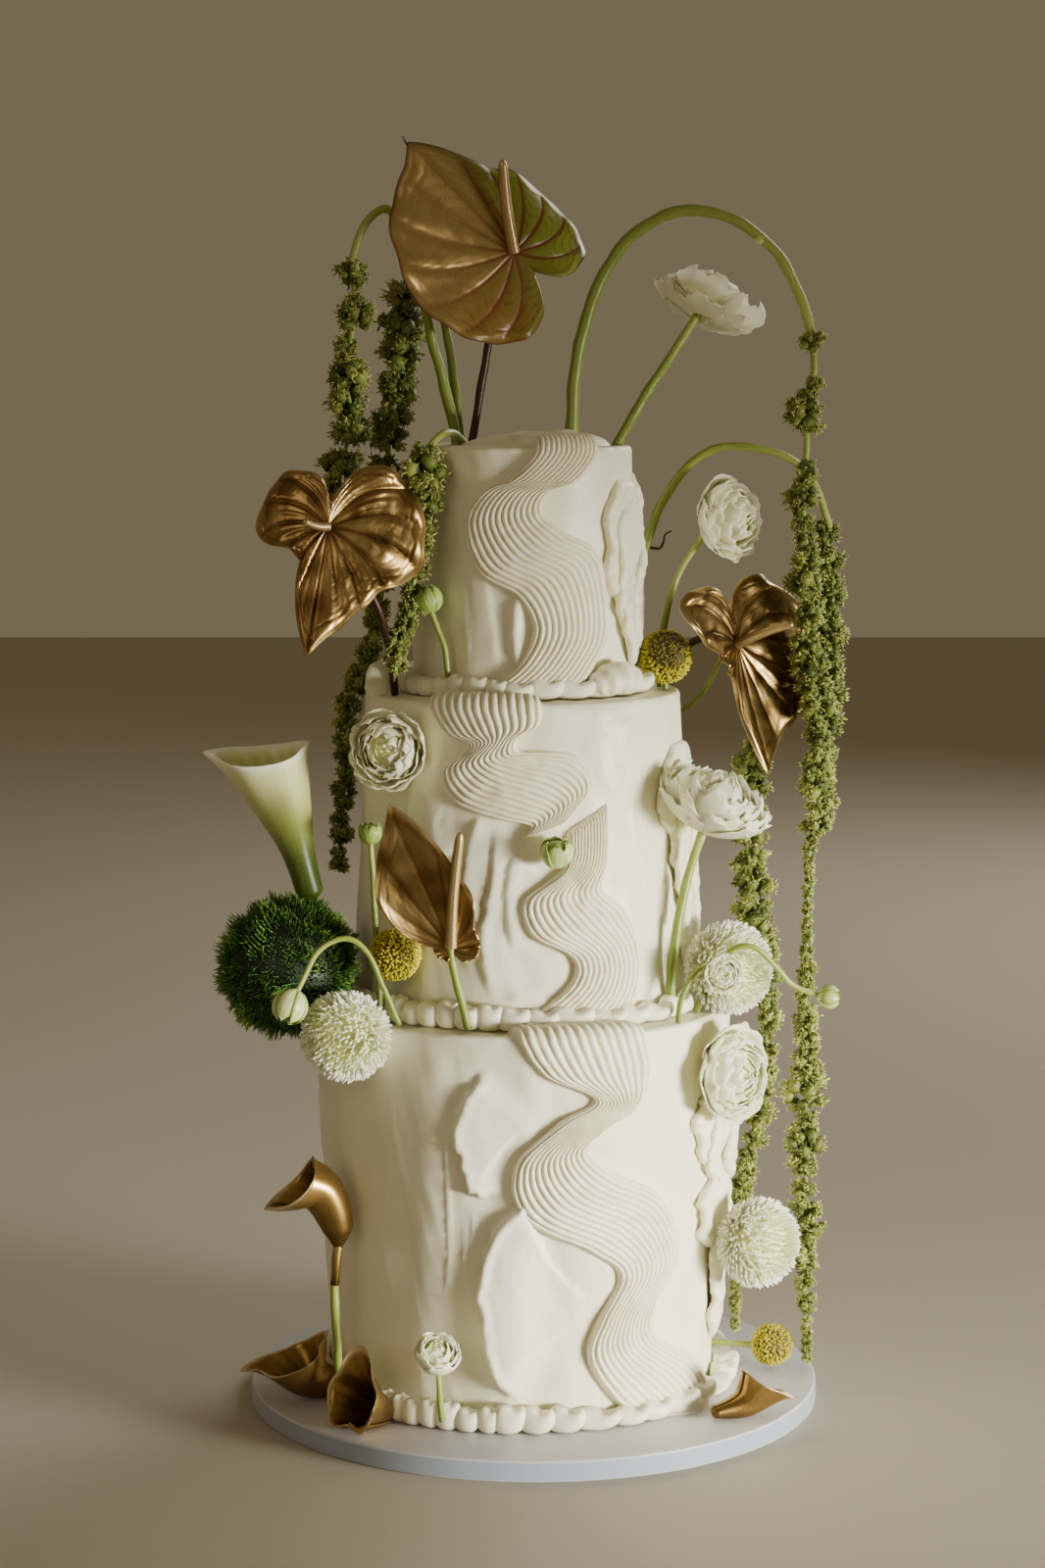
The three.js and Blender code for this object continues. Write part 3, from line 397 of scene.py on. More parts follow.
# Each row is one place of the comb: its left end and right end as degrees round the tier and millimetres
# below the rim, and the ribbon's thickness there.
WAVES = {
    "wave_top": ("top", [
        (-12, -25, 28, -30, 8), (-2, -14, 34, -16, 6), (6, 0, 40.6, 0, 7), (-6, 18, 29, 19.4, 7),
        (-20.6, 26, 13.7, 26.7, 7), (-30, 45.6, 10.9, 38.9, 7), (-22.7, 74, 22.7, 50, 7),
        (-4, 88, 42.1, 65.3, 7), (4.7, 106.3, 47, 108, 7), (-1.4, 126.8, 37.9, 130, 7),
        (-13.3, 141, 25.4, 147, 8),
    ]),
    "wave_middle_high": ("middle", [
        (-33, -13, 4, -14, 4), (-34.7, 0, 6.6, 0, 6), (-27.5, 17.5, 5.5, 12, 7), (-18.2, 25, -1.6, 19, 8),
        (-28, 40.3, -1, 27.3, 7), (-23.5, 58.5, 8.8, 27, 6), (-9, 68, 19.5, 31, 6), (2.2, 72, 24, 47.5, 6),
        (-1, 80, 14, 71, 6),
    ]),
    "wave_middle_low": ("middle", [
        (15.2, 75.9, 30.1, 58.6, 5), (12.5, 97.8, 29.7, 92, 7), (-0.3, 116, 27.4, 110, 7),
        (2.2, 136.5, 35.7, 123, 7), (15.5, 150, 41.5, 146.9, 7), (15.5, 165, 41.2, 170, 7),
        (4.6, 182.7, 35.6, 190, 8),
    ]),
    "wave_bottom": ("bottom", [
        (-5, -15, 28, -14, 5), (-2, 0, 33.5, 0, 6), (4.7, 21.6, 36, 26.4, 6), (18.6, 38, 31.7, 46, 7),
        (9.3, 52, 23.1, 56.6, 7), (-2.3, 79, 18.1, 69, 7), (0.8, 110.2, 26.3, 84.8, 7),
        (17.7, 131.1, 42, 104.3, 7), (26.8, 147.8, 49, 142, 7), (21.5, 174, 39.3, 170, 7),
        (18.8, 197, 41, 190, 7), (27, 226, 60, 213, 8), (41, 245, 64, 237, 9), (50, 259, 58, 257, 6),
    ]),
}


def over_icing(sizes, turn, down, lift):
    """Points over a tier: turn in degrees, down over the surface from the rim, lift above the icing."""
    foot, top, foot_radius, top_radius = sizes.values()
    height = top - foot
    angle = np.radians(turn)
    rim = (down + RIM_ROUND) / (2 * RIM_ROUND) * math.pi / 2
    hollow = (down - height + FOOT_HOLLOW) / (2 * FOOT_HOLLOW) * math.pi / 2
    wall = top_radius + (foot_radius - top_radius) * down / height + knife_wave(angle, 1 - down / height)
    where = [np.abs(down) < RIM_ROUND, down < 0, down < height - FOOT_HOLLOW, down < height + FOOT_HOLLOW]
    radius = np.select(where, [
        top_radius - RIM_ROUND * (1 - np.sin(rim)), top_radius + down, wall,
        foot_radius + FOOT_HOLLOW * (1 - np.cos(hollow)),
    ], foot_radius + down - height)
    z = np.select(where, [
        top - RIM_ROUND * (1 - np.cos(rim)), top + 0 * down, top - down,
        foot + FOOT_HOLLOW * (1 - np.sin(hollow)),
    ], foot)
    out = np.select(where, [np.sin(rim), 0 * down, 1 + 0 * down, np.cos(hollow)], 0)
    up = np.select(where, [np.cos(rim), 1 + 0 * down, 0 * down, np.sin(hollow)], 1)
    reach = radius + lift * out
    return np.stack([CAKE_X + np.sin(angle) * reach, -np.cos(angle) * reach, z + lift * up], axis=-1)


def slab_faces(rows, columns, copies=1, wrap=False):
    """Quads of closed sheets: all the front points first, then all the back points in the same order."""
    front = np.arange(copies * rows * columns).reshape(copies, rows, columns)
    back = front + front.size

    def quads(a, b, c, d):
        return np.stack([a, b, c, d], axis=-1).reshape(-1, 4)

    if wrap:
        front = np.concatenate([front, front[:, :, :1]], axis=2)
        back = np.concatenate([back, back[:, :, :1]], axis=2)
    faces = [
        quads(front[:, :-1, :-1], front[:, 1:, :-1], front[:, 1:, 1:], front[:, :-1, 1:]),
        quads(back[:, :-1, :-1], back[:, :-1, 1:], back[:, 1:, 1:], back[:, 1:, :-1]),
        quads(front[:, 0, :-1], front[:, 0, 1:], back[:, 0, 1:], back[:, 0, :-1]),
        quads(front[:, -1, :-1], back[:, -1, :-1], back[:, -1, 1:], front[:, -1, 1:]),
    ]
    if not wrap:
        faces.append(quads(front[:, :-1, 0], back[:, :-1, 0], back[:, 1:, 0], front[:, 1:, 0]))
        faces.append(quads(front[:, :-1, -1], front[:, 1:, -1], back[:, 1:, -1], back[:, :-1, -1]))
    return faces


def combed_wave(name, tier_name, lines, seed):
    lines = np.array(lines, float)
    sizes = TIERS[tier_name]
    middle = over_icing(sizes, (lines[:, 0] + lines[:, 2]) / 2, (lines[:, 1] + lines[:, 3]) / 2, 0)
    length = np.linalg.norm(np.diff(middle, axis=0), axis=1).sum()
    rows = int(length / WAVE_STEP * 1.2)
    columns = COMB_RIDGES * POINTS_PER_RIDGE + 1
    along = np.linspace(0, 1, rows)
    across = np.linspace(0, 1, columns)
    edge = spline(lines, along)[:, None]
    draw = np.random.default_rng(seed)
    sway = np.cumsum(draw.normal(size=(rows, 2)), axis=0)
    sway -= np.linspace(0, 1, rows)[:, None] * sway[-1]
    sway = np.stack([np.convolve(column, np.hanning(7) / 3, "same") for column in sway.T], axis=1)
    wide = np.clip(across, 0, 1)[None]
    turn = edge[..., 0] * (1 - wide) + edge[..., 2] * wide
    down = edge[..., 1] * (1 - wide) + edge[..., 3] * wide
    turn = turn + 0.07 * (sway[:, :1] * (1 - wide) ** 4 + sway[:, 1:] * wide ** 4)
    flat = np.stack([np.radians(turn) * sizes["top_radius"], down, 0 * down], axis=-1)
    roll = (1 - np.abs(2 * wide - 1) ** 16) * (1 - np.abs(2 * along[:, None] - 1) ** 60)
    ridge = np.abs(np.sin(math.pi * COMB_RIDGES * wide)) ** 0.85
    thick = edge[..., 4] * (0.8 + 0.14 * np.sin(math.pi * wide))
    wear = 1 - 0.5 * smoothstep(0.9, 2.2, soft_noise(flat * [1, 0.5, 1], 22, seed + 40))
    lift = (thick + 0.25 * soft_noise(flat, 11, seed + 1)) * np.sqrt(np.maximum(roll, 0))
    lift += RIDGE_HIGH * wear * ridge * roll - 1.2 * (1 - roll)
    lift -= 0.8 * smoothstep(1.7, 2.3, soft_noise(flat, 2.4, seed + 2))
    front = over_icing(sizes, turn, down, lift)
    back = over_icing(sizes, turn, down, np.full_like(lift, -1.4))
    # Painted shade and light: the grooves between the comb's ridges are tan and the crests lighter, less so
    # where the ridges are worn low.
    tint = np.stack([0.14 + 0.58 * ridge * wear + 0.05 * soft_noise(flat, 20, seed + 3), 0.5 + 0 * lift])
    faces = slab_faces(rows, columns)
    add_piece(name, np.stack([front, back]), faces, buttercream, [name], tint)


for seed, (wave_name, (tier_name, wave_lines)) in enumerate(WAVES.items()):
    combed_wave(wave_name, tier_name, wave_lines, 20 + seed)

# The heap of buttercream on top, from which the first wave is drawn
MOUND_CENTRE = (0.0, -26.0, 596.6)
MOUND_REACH = (46.0, 30.0, 11.5)
MOUND_RINGS, MOUND_SIDES = 26, 90
mound_share = np.linspace(0, 1, MOUND_RINGS)[:, None]
mound_turn = np.linspace(0, math.tau, MOUND_SIDES, endpoint=False)[None]
mound_out = np.cos(mound_share * math.pi / 2) ** 0.8 + 0.002
mound_place = np.stack([mound_out * np.cos(mound_turn), mound_out * np.sin(mound_turn)], axis=-1)
mound_rough = np.concatenate([mound_place * 40, np.zeros_like(mound_place[..., :1])], axis=-1)
mound_high = np.sin(mound_share * math.pi / 2) * (0.75 + 0.25 * mound_place[..., 0])
mound_high = mound_high * (1 + 0.06 * soft_noise(mound_rough, 14, 31)) - 0.12 * (1 - mound_share)
mound_points = np.stack([
    MOUND_CENTRE[0] + mound_place[..., 0] * MOUND_REACH[0],
    MOUND_CENTRE[1] + mound_place[..., 1] * MOUND_REACH[1],
    MOUND_CENTRE[2] + mound_high * MOUND_REACH[2],
], axis=-1)
add_piece("mound_top", mound_points, ring_faces(*mound_high.shape), buttercream)

# Knife petals
# Flat petals of buttercream pressed on with the knife and lifted at their free edge, one over another,
# round the right side of each tier. Their free edges curl; the free edge, the trough behind it and the
# underside are painted darker as shade.
KNIFE_PETALS = {
    "petals_top": ("top", [
        (46, 74, 20, 96, 3.5), (52, 100, 24, 118, 6), (58, 104, 60, 136, 6.5), (66, 128, 46, 134, 8.5),
        (92, 128, 14, 90, 5),
    ]),
    "petals_middle": ("middle", [
        (55, 84, 30, 92, 3), (62, 96, 36, 150, 5), (66, 104, 96, 176, 6), (74, 122, 48, 170, 7.5),
        (96, 124, 30, 120, 5),
    ]),
    "petals_bottom": ("bottom", [
        (54, 78, 40, 96, 3), (60, 88, 32, 112, 5), (70, 110, 44, 118, 8.5), (58, 84, 96, 150, 4),
        (66, 104, 128, 214, 5), (84, 112, 104, 190, 5.5),
    ]),
}
PETAL_THICK = 3.4


def knife_petals(name, tier_name, petals, seed):
    rows, columns = 50, 32
    draw = np.random.default_rng(seed)
    fronts, backs, tints = [], [], []
    along = np.linspace(0, 1, rows)[:, None]
    across = np.linspace(0, 1, columns)[None]
    for number, (free, root, upper, lower, stands) in enumerate(petals):
        flat = np.stack([across * 40 + 0 * along, along * (lower - upper) + 0 * across,
                         np.full((rows, columns), 60.0 * number + seed)], axis=-1)
        narrowing = 1 - 0.45 * np.abs(2 * along - 1) ** 3
        lobed = 1 + 0.05 * np.sin(along * draw.uniform(7, 12) + draw.uniform(0, 6)) * across ** 3
        turn = root + (free - root) * across * narrowing * lobed
        turn = turn + 0.8 * soft_noise(flat, 26, seed) * across ** 3
        turn += 0.5 * soft_noise(flat, 9, seed + 4) * across ** 5
        bulge = np.sin(math.pi * (0.12 + 0.76 * along))
        lift = 1 + (stands * bulge - 1) * across ** 1.6
        crumple = 0.8 * soft_noise(flat * [0.6, 1, 1], 20, seed + 1) + 0.5 * soft_noise(flat, 7, seed + 3)
        lift = lift + crumple * across
        trough = 1.5 * np.exp(-((across - 0.72) / 0.12) ** 2) * bulge
        ends = np.sqrt(np.clip(1 - np.abs(2 * along - 1) ** 8, 0, 1))
        edge = np.sqrt(np.clip(1 - across ** 9, 0, 1))
        down = upper + (lower - upper) * along + 0 * across
        front = (lift + 0.9 + PETAL_THICK * edge - trough) * ends - 1.2 * (1 - ends)
        back = np.minimum((lift - 0.6) * smoothstep(0.72, 1, across) - 1.3, front - 0.4)
        fronts.append(over_icing(TIERS[tier_name], turn, down, front))
        backs.append(over_icing(TIERS[tier_name], turn, down, back))
        # Painted shade: darker towards the free edge and in the trough behind it.
        tints.append(0.64 - 0.1 * across ** 8 - 0.1 * trough / 1.5 - 0.05 * soft_noise(flat, 18, seed + 2))
    points = np.stack([np.array(fronts), np.array(backs)])
    # The undersides are painted darker still: painted shade.
    tint = np.stack([np.array(tints), np.array(tints) - 0.18])
    faces = [group[:, ::-1] for group in slab_faces(rows, columns, len(petals))]
    add_piece(name, points, faces, buttercream, [name], tint)


for seed, (petal_name, (tier_name, petal_rows)) in enumerate(KNIFE_PETALS.items()):
    knife_petals(petal_name, tier_name, petal_rows, 50 + 7 * seed)

# Folded borders
# Buttercream pressed from a petal tip in short overlapping folds round the foot of each tier: tight upright
# pillows on the left, opening to broad shells with a hollow lip towards the right.
BORDERS = {
    "border_top": ("top", 10.0, 14.5),
    "border_middle": ("middle", 11.5, 17.0),
    "border_bottom": ("bottom", 12.0, 18.0),
}
BORDER_BACK = 2.2
FOLD_ROUND, FOLD_RINGS = 18, 11


def folded_border(name, tier_name, out, high, seed):
    draw = np.random.default_rng(seed)
    sizes = TIERS[tier_name]
    ring_radius = sizes["foot_radius"] + BORDER_BACK + out * 0.5
    share = np.linspace(0, 1, FOLD_RINGS)[:, None]
    round_fold = np.linspace(0, math.tau, FOLD_ROUND, endpoint=False)[None]
    folds = []
    tints = []
    turn = -180.0
    while turn < 178:
        broad = smoothstep(-25, 25, turn) * smoothstep(150, 80, abs(turn))
        half = (6.0 + 5.4 * broad) * draw.uniform(0.84, 1.2)
        side = np.sin(share * math.pi) ** 0.5
        square = (np.abs(np.cos(round_fold)) ** 2.4 + np.abs(np.sin(round_fold)) ** 2.4) ** (-1 / 2.4)
        x = half * 1.12 * side * np.cos(round_fold) * square
        y = out * 0.56 * side * np.sin(round_fold) * square
        height = high * (1 - 0.16 * broad) * draw.uniform(0.82, 1.08)
        z = height * (0.5 - 0.5 * np.cos(share * math.pi)) ** 0.9 + 0 * round_fold
        lean = draw.uniform(0.1, 0.28) + 0.25 * broad
        dip = np.exp(-((x / half - 0.25) / 0.4) ** 2) * (0.12 + 0.22 * broad) * height
        z -= dip * smoothstep(0.45, 1, share)
        y -= 0.22 * out * broad * smoothstep(0.3, 0.8, share) * np.cos(math.pi * x / half / 2) ** 2
        y += 0.1 * out * np.sin(share * math.pi)
        x += lean * half * (share - 0.3)
        yaw = math.radians(draw.uniform(-8, 8) + 20 * broad)
        x, y = x * math.cos(yaw) - y * math.sin(yaw), x * math.sin(yaw) + y * math.cos(yaw)
        angle = np.radians(turn) + x / ring_radius
        reach = ring_radius + y + draw.uniform(-0.6, 0.6)
        folds.append(np.stack([
            CAKE_X + np.sin(angle) * reach, -np.cos(angle) * reach, sizes["foot"] + 0.4 + np.maximum(z, 0)
        ], axis=-1))
        # Painted light and shade: each fold is lighter towards its top and darker at its foot.
        tints.append(0.5 + 0.22 * share + 0 * round_fold)
        turn += math.degrees(half * 1.78 / ring_radius)
    folds = np.array(folds)
    faces = [group[:, ::-1] for group in ring_faces(FOLD_RINGS, FOLD_ROUND, len(folds))]
    add_piece(name, folds, faces, buttercream, [name], np.array(tints))


for seed, (border_name, (tier_name, fold_out, fold_high)) in enumerate(BORDERS.items()):
    folded_border(border_name, tier_name, fold_out, fold_high, 70 + seed)

# Cut stems
# Every flower stands on its own cut stem pushed into the cake: smooth, round and green, a little paler
# towards the flower. Each flower's section gives the route and the thickness.
FRESH_GREEN = ["4b5a1c", "83923a", "c0c878"]


def unit(vector):
    vector = np.asarray(vector, float)
    return vector / (np.linalg.norm(vector, axis=-1, keepdims=True) + 1e-12)


def tubes(paths, radii, sides=10, flat=1.0, across=(0.31, -0.9, 0.3)):
    """Rings of points round many paths at once; flat squeezes the rings at right angles to across."""
    paths = np.asarray(paths, float)
    radii = np.broadcast_to(radii, paths.shape[:2])
    tangents = unit(np.gradient(paths, axis=1))
    first = np.broadcast_to(np.asarray(across, float), (len(paths), 3))
    turn = np.linspace(0, math.tau, sides, endpoint=False)[None, :, None]
    rings = []
    for i in range(paths.shape[1]):
        tangent = tangents[:, i]
        first = unit(first - (first * tangent).sum(-1, keepdims=True) * tangent)
        second = np.cross(tangent, first)
        ring = np.cos(turn) * first[:, None] + flat * np.sin(turn) * second[:, None]
        rings.append(paths[:, i, None] + radii[:, i, None, None] * ring)
    return np.stack(rings, axis=1)


def stem(name, route, thick, thin, material, nodes=()):
    """A bare stem along a route, from its thick foot to its thin end."""
    sides = 14
    share = np.linspace(0, 1, 12 * len(route))
    path = spline(route, share)
    path = path + 0.3 * np.stack([soft_noise(path, 34, seed) for seed in (1, 2, 3)], axis=-1)
    radii = (thick + (thin - thick) * share) * (1 + 0.05 * soft_noise(path, 18, 4))
    tint = np.repeat(0.3 + 0.45 * share, sides)
    points = tubes(path[None], radii[None], sides)
    add_piece(name, points, ring_faces(len(path), sides), material, nodes, tint)


# Fresh green stem: a waxy skin over wet tissue, so it is satin and a little translucent, with long fibres.
fresh_stem = surface(
    "fresh green stem", FRESH_GREEN, 0.38, 2.2, 0.08,
    Subsurface_Weight=0.15, Subsurface_Radius=(0.5, 1.0, 0.2), Subsurface_Scale=0.002,
)

# Large shell and flared petal
# Two bigger strokes of the border at the top tier's foot: a ridged shell on the right, pressed down at its
# nose, and on the left a thin petal that stands up behind the tassels. Both are the same buttercream.
SHELL_ROUTE = [(31, -63, 451.5), (40, -60, 456), (52, -52, 458.5), (63, -42, 457)]
SHELL_RADIUS = [2.5, 8.5, 11.5, 7.5]
SHELL_RIDGES = 5
FLARE_ROUTE = [(-94, -42, 446.5), (-94.5, -43, 455), (-94, -44, 463), (-91, -43.5, 469)]
FLARE_RADIUS = [6.4, 8.2, 5.6, 1.0]
STROKE_RINGS, STROKE_SIDES = 64, 26


def stroke(name, route, radii, flat, ridges, across):
    """One stroke of the piping tip, closed at both ends, with ridges round it."""
    share = np.linspace(0, 1, STROKE_RINGS)
    path = spline(route, share)
    wide = spline(np.array(radii)[:, None], share)[:, 0] + 0.5 * np.sin(math.tau * ridges * share)
    wide = wide * np.sqrt(np.clip(1 - np.abs(2 * share - 1) ** 12, 0.01, 1))
    points = tubes(path[None], wide[None], STROKE_SIDES, flat, across)
    points = points + 0.25 * soft_noise(points, 9, 75)[..., None]
    # Painted light and shade: lighter on the swells of the ridges, darker in the hollows between them.
    tint = np.repeat(0.52 + 0.16 * np.sin(math.tau * ridges * share), STROKE_SIDES)
    add_piece(name, points, ring_faces(STROKE_RINGS, STROKE_SIDES), buttercream, (), tint)


stroke("border_top_shell", SHELL_ROUTE, SHELL_RADIUS, 0.8, SHELL_RIDGES, (0.5, 0.6, 0.6))
stroke("border_top_flare", FLARE_ROUTE, FLARE_RADIUS, 0.2, 2, (1, 0.2, 0))

# Heart-leaf flowers
# Waxy heart-shaped leaves with deep veins, each with a finger-like spike at its base. Three are coated
# with gold; the highest keeps its own green and bronze, with gilding brushed on towards its tip.
HEART_OUTLINE = [(0, 1), (10, 0.87), (25, 0.77), (50, 0.73), (90, 0.66), (135, 0.6), (162, 0.44), (180, 0.14)]
HEART_THICK = 1.1
HEART_COLUMNS, HEART_ROWS = 193, 60
OUTLINE_WINDOW = 17  # points over which the corners of the outline are rounded
VEIN_ANGLES = (0, 17, 38, 64, 92, 122, 152)
VEIN_WIDE = 1.15
HEARTS = {
    "heart_crown": {
        "base": (-12, -6, 713), "tip": (-0.71, -0.08, 0.7), "faces": (0.1, -0.97, 0.1), "length": 92,
        "curl": (0.5, -1.2), "blades": (1.13, 0.78), "lobes": (1.02, 0.86), "lobes_from": (80, 125),
        "hook": 0.1, "spike": (-19, -26, 767), "spike_radius": 3.9,
        "ripple": 2.4, "quilt": 0.7, "pleats": 0.0,
        "stem": [(-39, 5, 592), (-28, 2, 655), (-20, 2, 690), (-13, -3, 712)],
    },
    "heart_left": {
        "base": (-121, -92, 551), "tip": (-0.16, -0.18, -0.97), "faces": (0.12, -0.93, 0.2), "length": 78,
        "curl": (-0.3, -1.0), "blades": (0.87, 0.44), "lobes": (1.18, 0.9), "lobes_from": (45, 85),
        "hook": 0.05, "spike": (-134, -108, 555), "spike_radius": 2.8,
        "ripple": 2.6, "quilt": 0.95, "pleats": 0.4,
        "stem": [(-84, -44, 448), (-86, -52, 470), (-93, -74, 502), (-112, -86, 546), (-120, -89, 551)],
    },
    "heart_right": {
        "base": (125, -8, 475), "tip": (0.2, -0.06, -0.97), "faces": (0.82, -0.55, 0.12), "length": 84,
        "curl": (0.9, -0.3), "blades": (1.0, 0.34), "lobes": (1.05, 1.05), "lobes_from": (80, 125),
        "hook": 0.05, "spike": (157, -32, 489), "spike_radius": 3.2,
        "ripple": 2.0, "quilt": 0.9, "pleats": 0.12,
        "stem": [(84, 0, 450), (90, 0, 468), (104, -2, 478), (122, -4, 474), (125, -6, 475)],
    },
    "heart_front": {
        "base": (-49, -122, 306), "tip": (-0.38, -0.03, 0.92), "faces": (-0.1, -0.99, 0.1), "length": 93,
        "curl": (0.9, 1.2), "blades": (0.8, 0.62), "lobes": (0.17, 0.3), "lobes_from": (25, 75),
        "hook": 0.05, "spike": (-43, -134, 376), "spike_radius": 3.7,
        "ripple": 1.8, "quilt": 0.42, "pleats": 0.3,
        "stem": [(-39, -114, 256), (-45, -118, 280), (-49, -121, 304), (-49, -122, 308)],
    },
}


def heart_leaf(name, flower, material, paint=None):
    base, length, quilted = np.array(flower["base"], float), flower["length"], flower["quilt"]
    along = unit(flower["tip"])
    side = unit(np.cross(along, flower["faces"]))
    front = np.cross(side, along)
    angle = np.linspace(180, -180, HEART_COLUMNS)
    turn = np.abs(angle)
    half = (angle > 0).astype(int)
    plain = np.interp(turn, *zip(*HEART_OUTLINE))
    window = np.hanning(OUTLINE_WINDOW) / np.hanning(OUTLINE_WINDOW).sum()
    smooth = np.convolve(np.pad(plain, OUTLINE_WINDOW // 2, mode="reflect"), window, "valid")
    outline = plain + (smooth - plain) * smoothstep(3, 12, turn)
    beside = 1 + (np.array(flower["blades"])[half] - 1) * np.minimum(1, turn / 30)
    lobes = np.array(flower["lobes"])[half]
    outline = outline * (beside + (lobes - beside) * smoothstep(*flower["lobes_from"], turn))
    outline *= 1 + 0.012 * np.sin(np.radians(angle) * 9) + 0.008 * np.sin(np.radians(angle) * 17)
    share = np.linspace(0.004, 1, HEART_ROWS)[:, None]
    radians = np.radians(angle)[None]
    reach = share * outline * length
    across = np.sin(radians) * reach
    down = np.cos(radians) * reach
    # Veins leave the base like a fan and bow towards the tip; one more runs just inside the edge
    bowed = turn[None] / (1 - 0.2 * share ** 2)
    vein = np.zeros_like(reach)
    swell = np.ones_like(reach)
    for vein_angle in VEIN_ANGLES:
        gap = np.abs(np.radians(bowed - vein_angle)) * reach
        vein = np.maximum(vein, np.exp(-(gap / VEIN_WIDE) ** 2) * smoothstep(1.0, 0.9, share))
        swell = np.minimum(swell, gap / 6.5)
    wander = 0.02 * np.sin(radians * 15) + 0.012 * np.sin(radians * 31)
    vein = np.maximum(vein, 0.75 * np.exp(-((share - 0.86 - wander) * length / 0.8) ** 2))
    rungs = np.sin(share * 26 + 4 * np.sin(radians * 6.5) + angle[None] / 9) ** 2
    cross_vein = np.exp(-rungs * 26) * smoothstep(0.3, 0.5, share) * smoothstep(0.86, 0.84, share)
    relief = 1.1 * swell * smoothstep(0.02, 0.35, share) - 0.7 * vein - 0.22 * cross_vein
    pleat = np.sin(np.radians(bowed) * 30 + 2 * np.sin(radians * 4) + 1.5 * share)
    uneven = 0.6 + 0.4 * np.sin(radians * 9 + 5 * share)
    relief += flower["pleats"] * pleat * smoothstep(0.1, 0.5, share) * uneven
    flat_place = np.stack([across, 0.45 * down, 0 * across], axis=-1)
    relief += 0.2 * soft_noise(flat_place, 11, 61) * smoothstep(0.1, 0.4, share)
    relief *= quilted * smoothstep(1.0, 0.88, share)
    bend = np.array(flower["curl"])[half][None] / (0.7 * length)
    turned = np.sin(across * bend) / bend
    raised = (1 - np.cos(across * bend)) / bend
    tipped = flower["hook"] * length * (np.maximum(down, 0) / length) ** 2
    ripple = flower["ripple"] * share ** 5 * (np.sin(radians * 7 + 1) + 0.6 * np.sin(radians * 13 + 2))
    height = raised + tipped + ripple * smoothstep(4, 25, turn)[None] - 1.2 * smoothstep(0.93, 1, share)
    place = base + turned[..., None] * side + down[..., None] * along
    thick = HEART_THICK * np.sqrt(np.clip(1 - share ** 20, 0.03, 1))
    fronts = place + (height + relief + thick / 2)[..., None] * front
    backs = place + (height + 0.7 * relief - thick / 2)[..., None] * front
    rim = smoothstep(0.965, 1, share) + 0 * reach
    # The rim term paints the leaf's edge lighter as a painted highlight; the crown leaf's paint replaces this
    # tint.
    tint = 0.5 - 0.34 * min(1, quilted) * vein - 0.12 * quilted * cross_vein + 0.3 * rim
    tint = tint + 0.12 * soft_noise(fronts, 16, 3)
    brushes = {}
    if paint:
        brushes = paint(across / length, down / length, share, vein, cross_vein, rim)
        tint = brushes.pop("tint")
    points = np.stack([fronts, backs])
    faces = slab_faces(*reach.shape)
    piece = add_piece(f"{name}_leaf", points, faces, material, [name], np.stack([tint] * 2))
    for key, values in brushes.items():
        brushed = piece.data.attributes.new(key, "FLOAT", "POINT")
        brushed.data.foreach_set("value", np.stack([values] * 2).ravel())


def spike(name, flower, material):
    """The finger-like spike, closely packed with tiny flowers."""
    start, end = np.array(flower["base"], float), np.array(flower["spike"], float)
    rings, sides = 110, 30
    share = np.linspace(0, 1, rings)
    bow = np.outer(np.sin(share * math.pi), unit(np.cross(end - start, (0, 1, 0)))) * 1.2
    path = start + share[:, None] * (end - start) + bow
    radius = flower["spike_radius"] * (1 - 0.28 * share) * np.sqrt(np.clip(1 - share ** 26, 0.01, 1))
    points = tubes(path[None], radius[None], sides)
    turn = np.linspace(0, math.tau, sides, endpoint=False)
    run = share[:, None] * 2.3 * np.linalg.norm(end - start)
    studs = np.sin(run + turn * 5) * np.sin(run - turn * 5)
    points += (points - path[None, :, None]) * (0.05 * studs)[None, ..., None]
    # Painted light and shade: the tops of the studs are lighter and the hollows between them darker.
    tint = 0.62 + 0.3 * studs
    add_piece(f"{name}_spike", points, ring_faces(rings, sides), material, (), tint)


def crown_paint(across, down, share, vein, cross_vein, rim):
    """The crown leaf: gilded towards its tip, bronze below, green to its right, with red veins."""
    left = smoothstep(0.3, -0.1, across)
    upper = 0.1 + 0.9 * smoothstep(-0.1, 0.5, down - 0.3 * across)
    brushed = 0.5 + 0.5 * soft_noise(np.stack([across, down, 0 * across], axis=-1) * 100, 16, 62)
    gilt = np.clip(left * upper * (0.75 + 0.35 * brushed), 0, 1) * smoothstep(1.0, 0.93, share)
    gilt = gilt * (1 - 0.6 * np.maximum(vein, cross_vein))
    hue = 0.1 + 0.85 * smoothstep(-0.4, 0.5, across - 0.3 * down + 0.05) + 0.14 * smoothstep(0.8, 1, share)
    red = np.clip(1.3 * vein + 0.9 * cross_vein, 0, 1) * (0.9 - 0.5 * gilt) + 0.85 * rim
    return {"gilt": gilt, "vein": np.clip(red, 0, 1), "tint": np.clip(hue, 0, 1)}


# Gold leaf paint over a waxy leaf: a true metal film, polished on the swells and darker in the veins, with a
# painted highlight along its edge.
gilded_leaf = surface("gilded leaf", ["402d1a", "84663c", "be9f6a", "eed9b2"], 0.31, 1.8, 0.06, Metallic=1.0)
gilded_spike = surface("gilded spike", ["5f4c26", "b39560", "eedcb4"], 0.36, 0.9, 0.12, Metallic=0.85)
bronzed_stem = surface("bronzed stem", ["1e120a", "3a2413", "5d4024"], 0.4, 2.0, 0.06, Metallic=0.4)

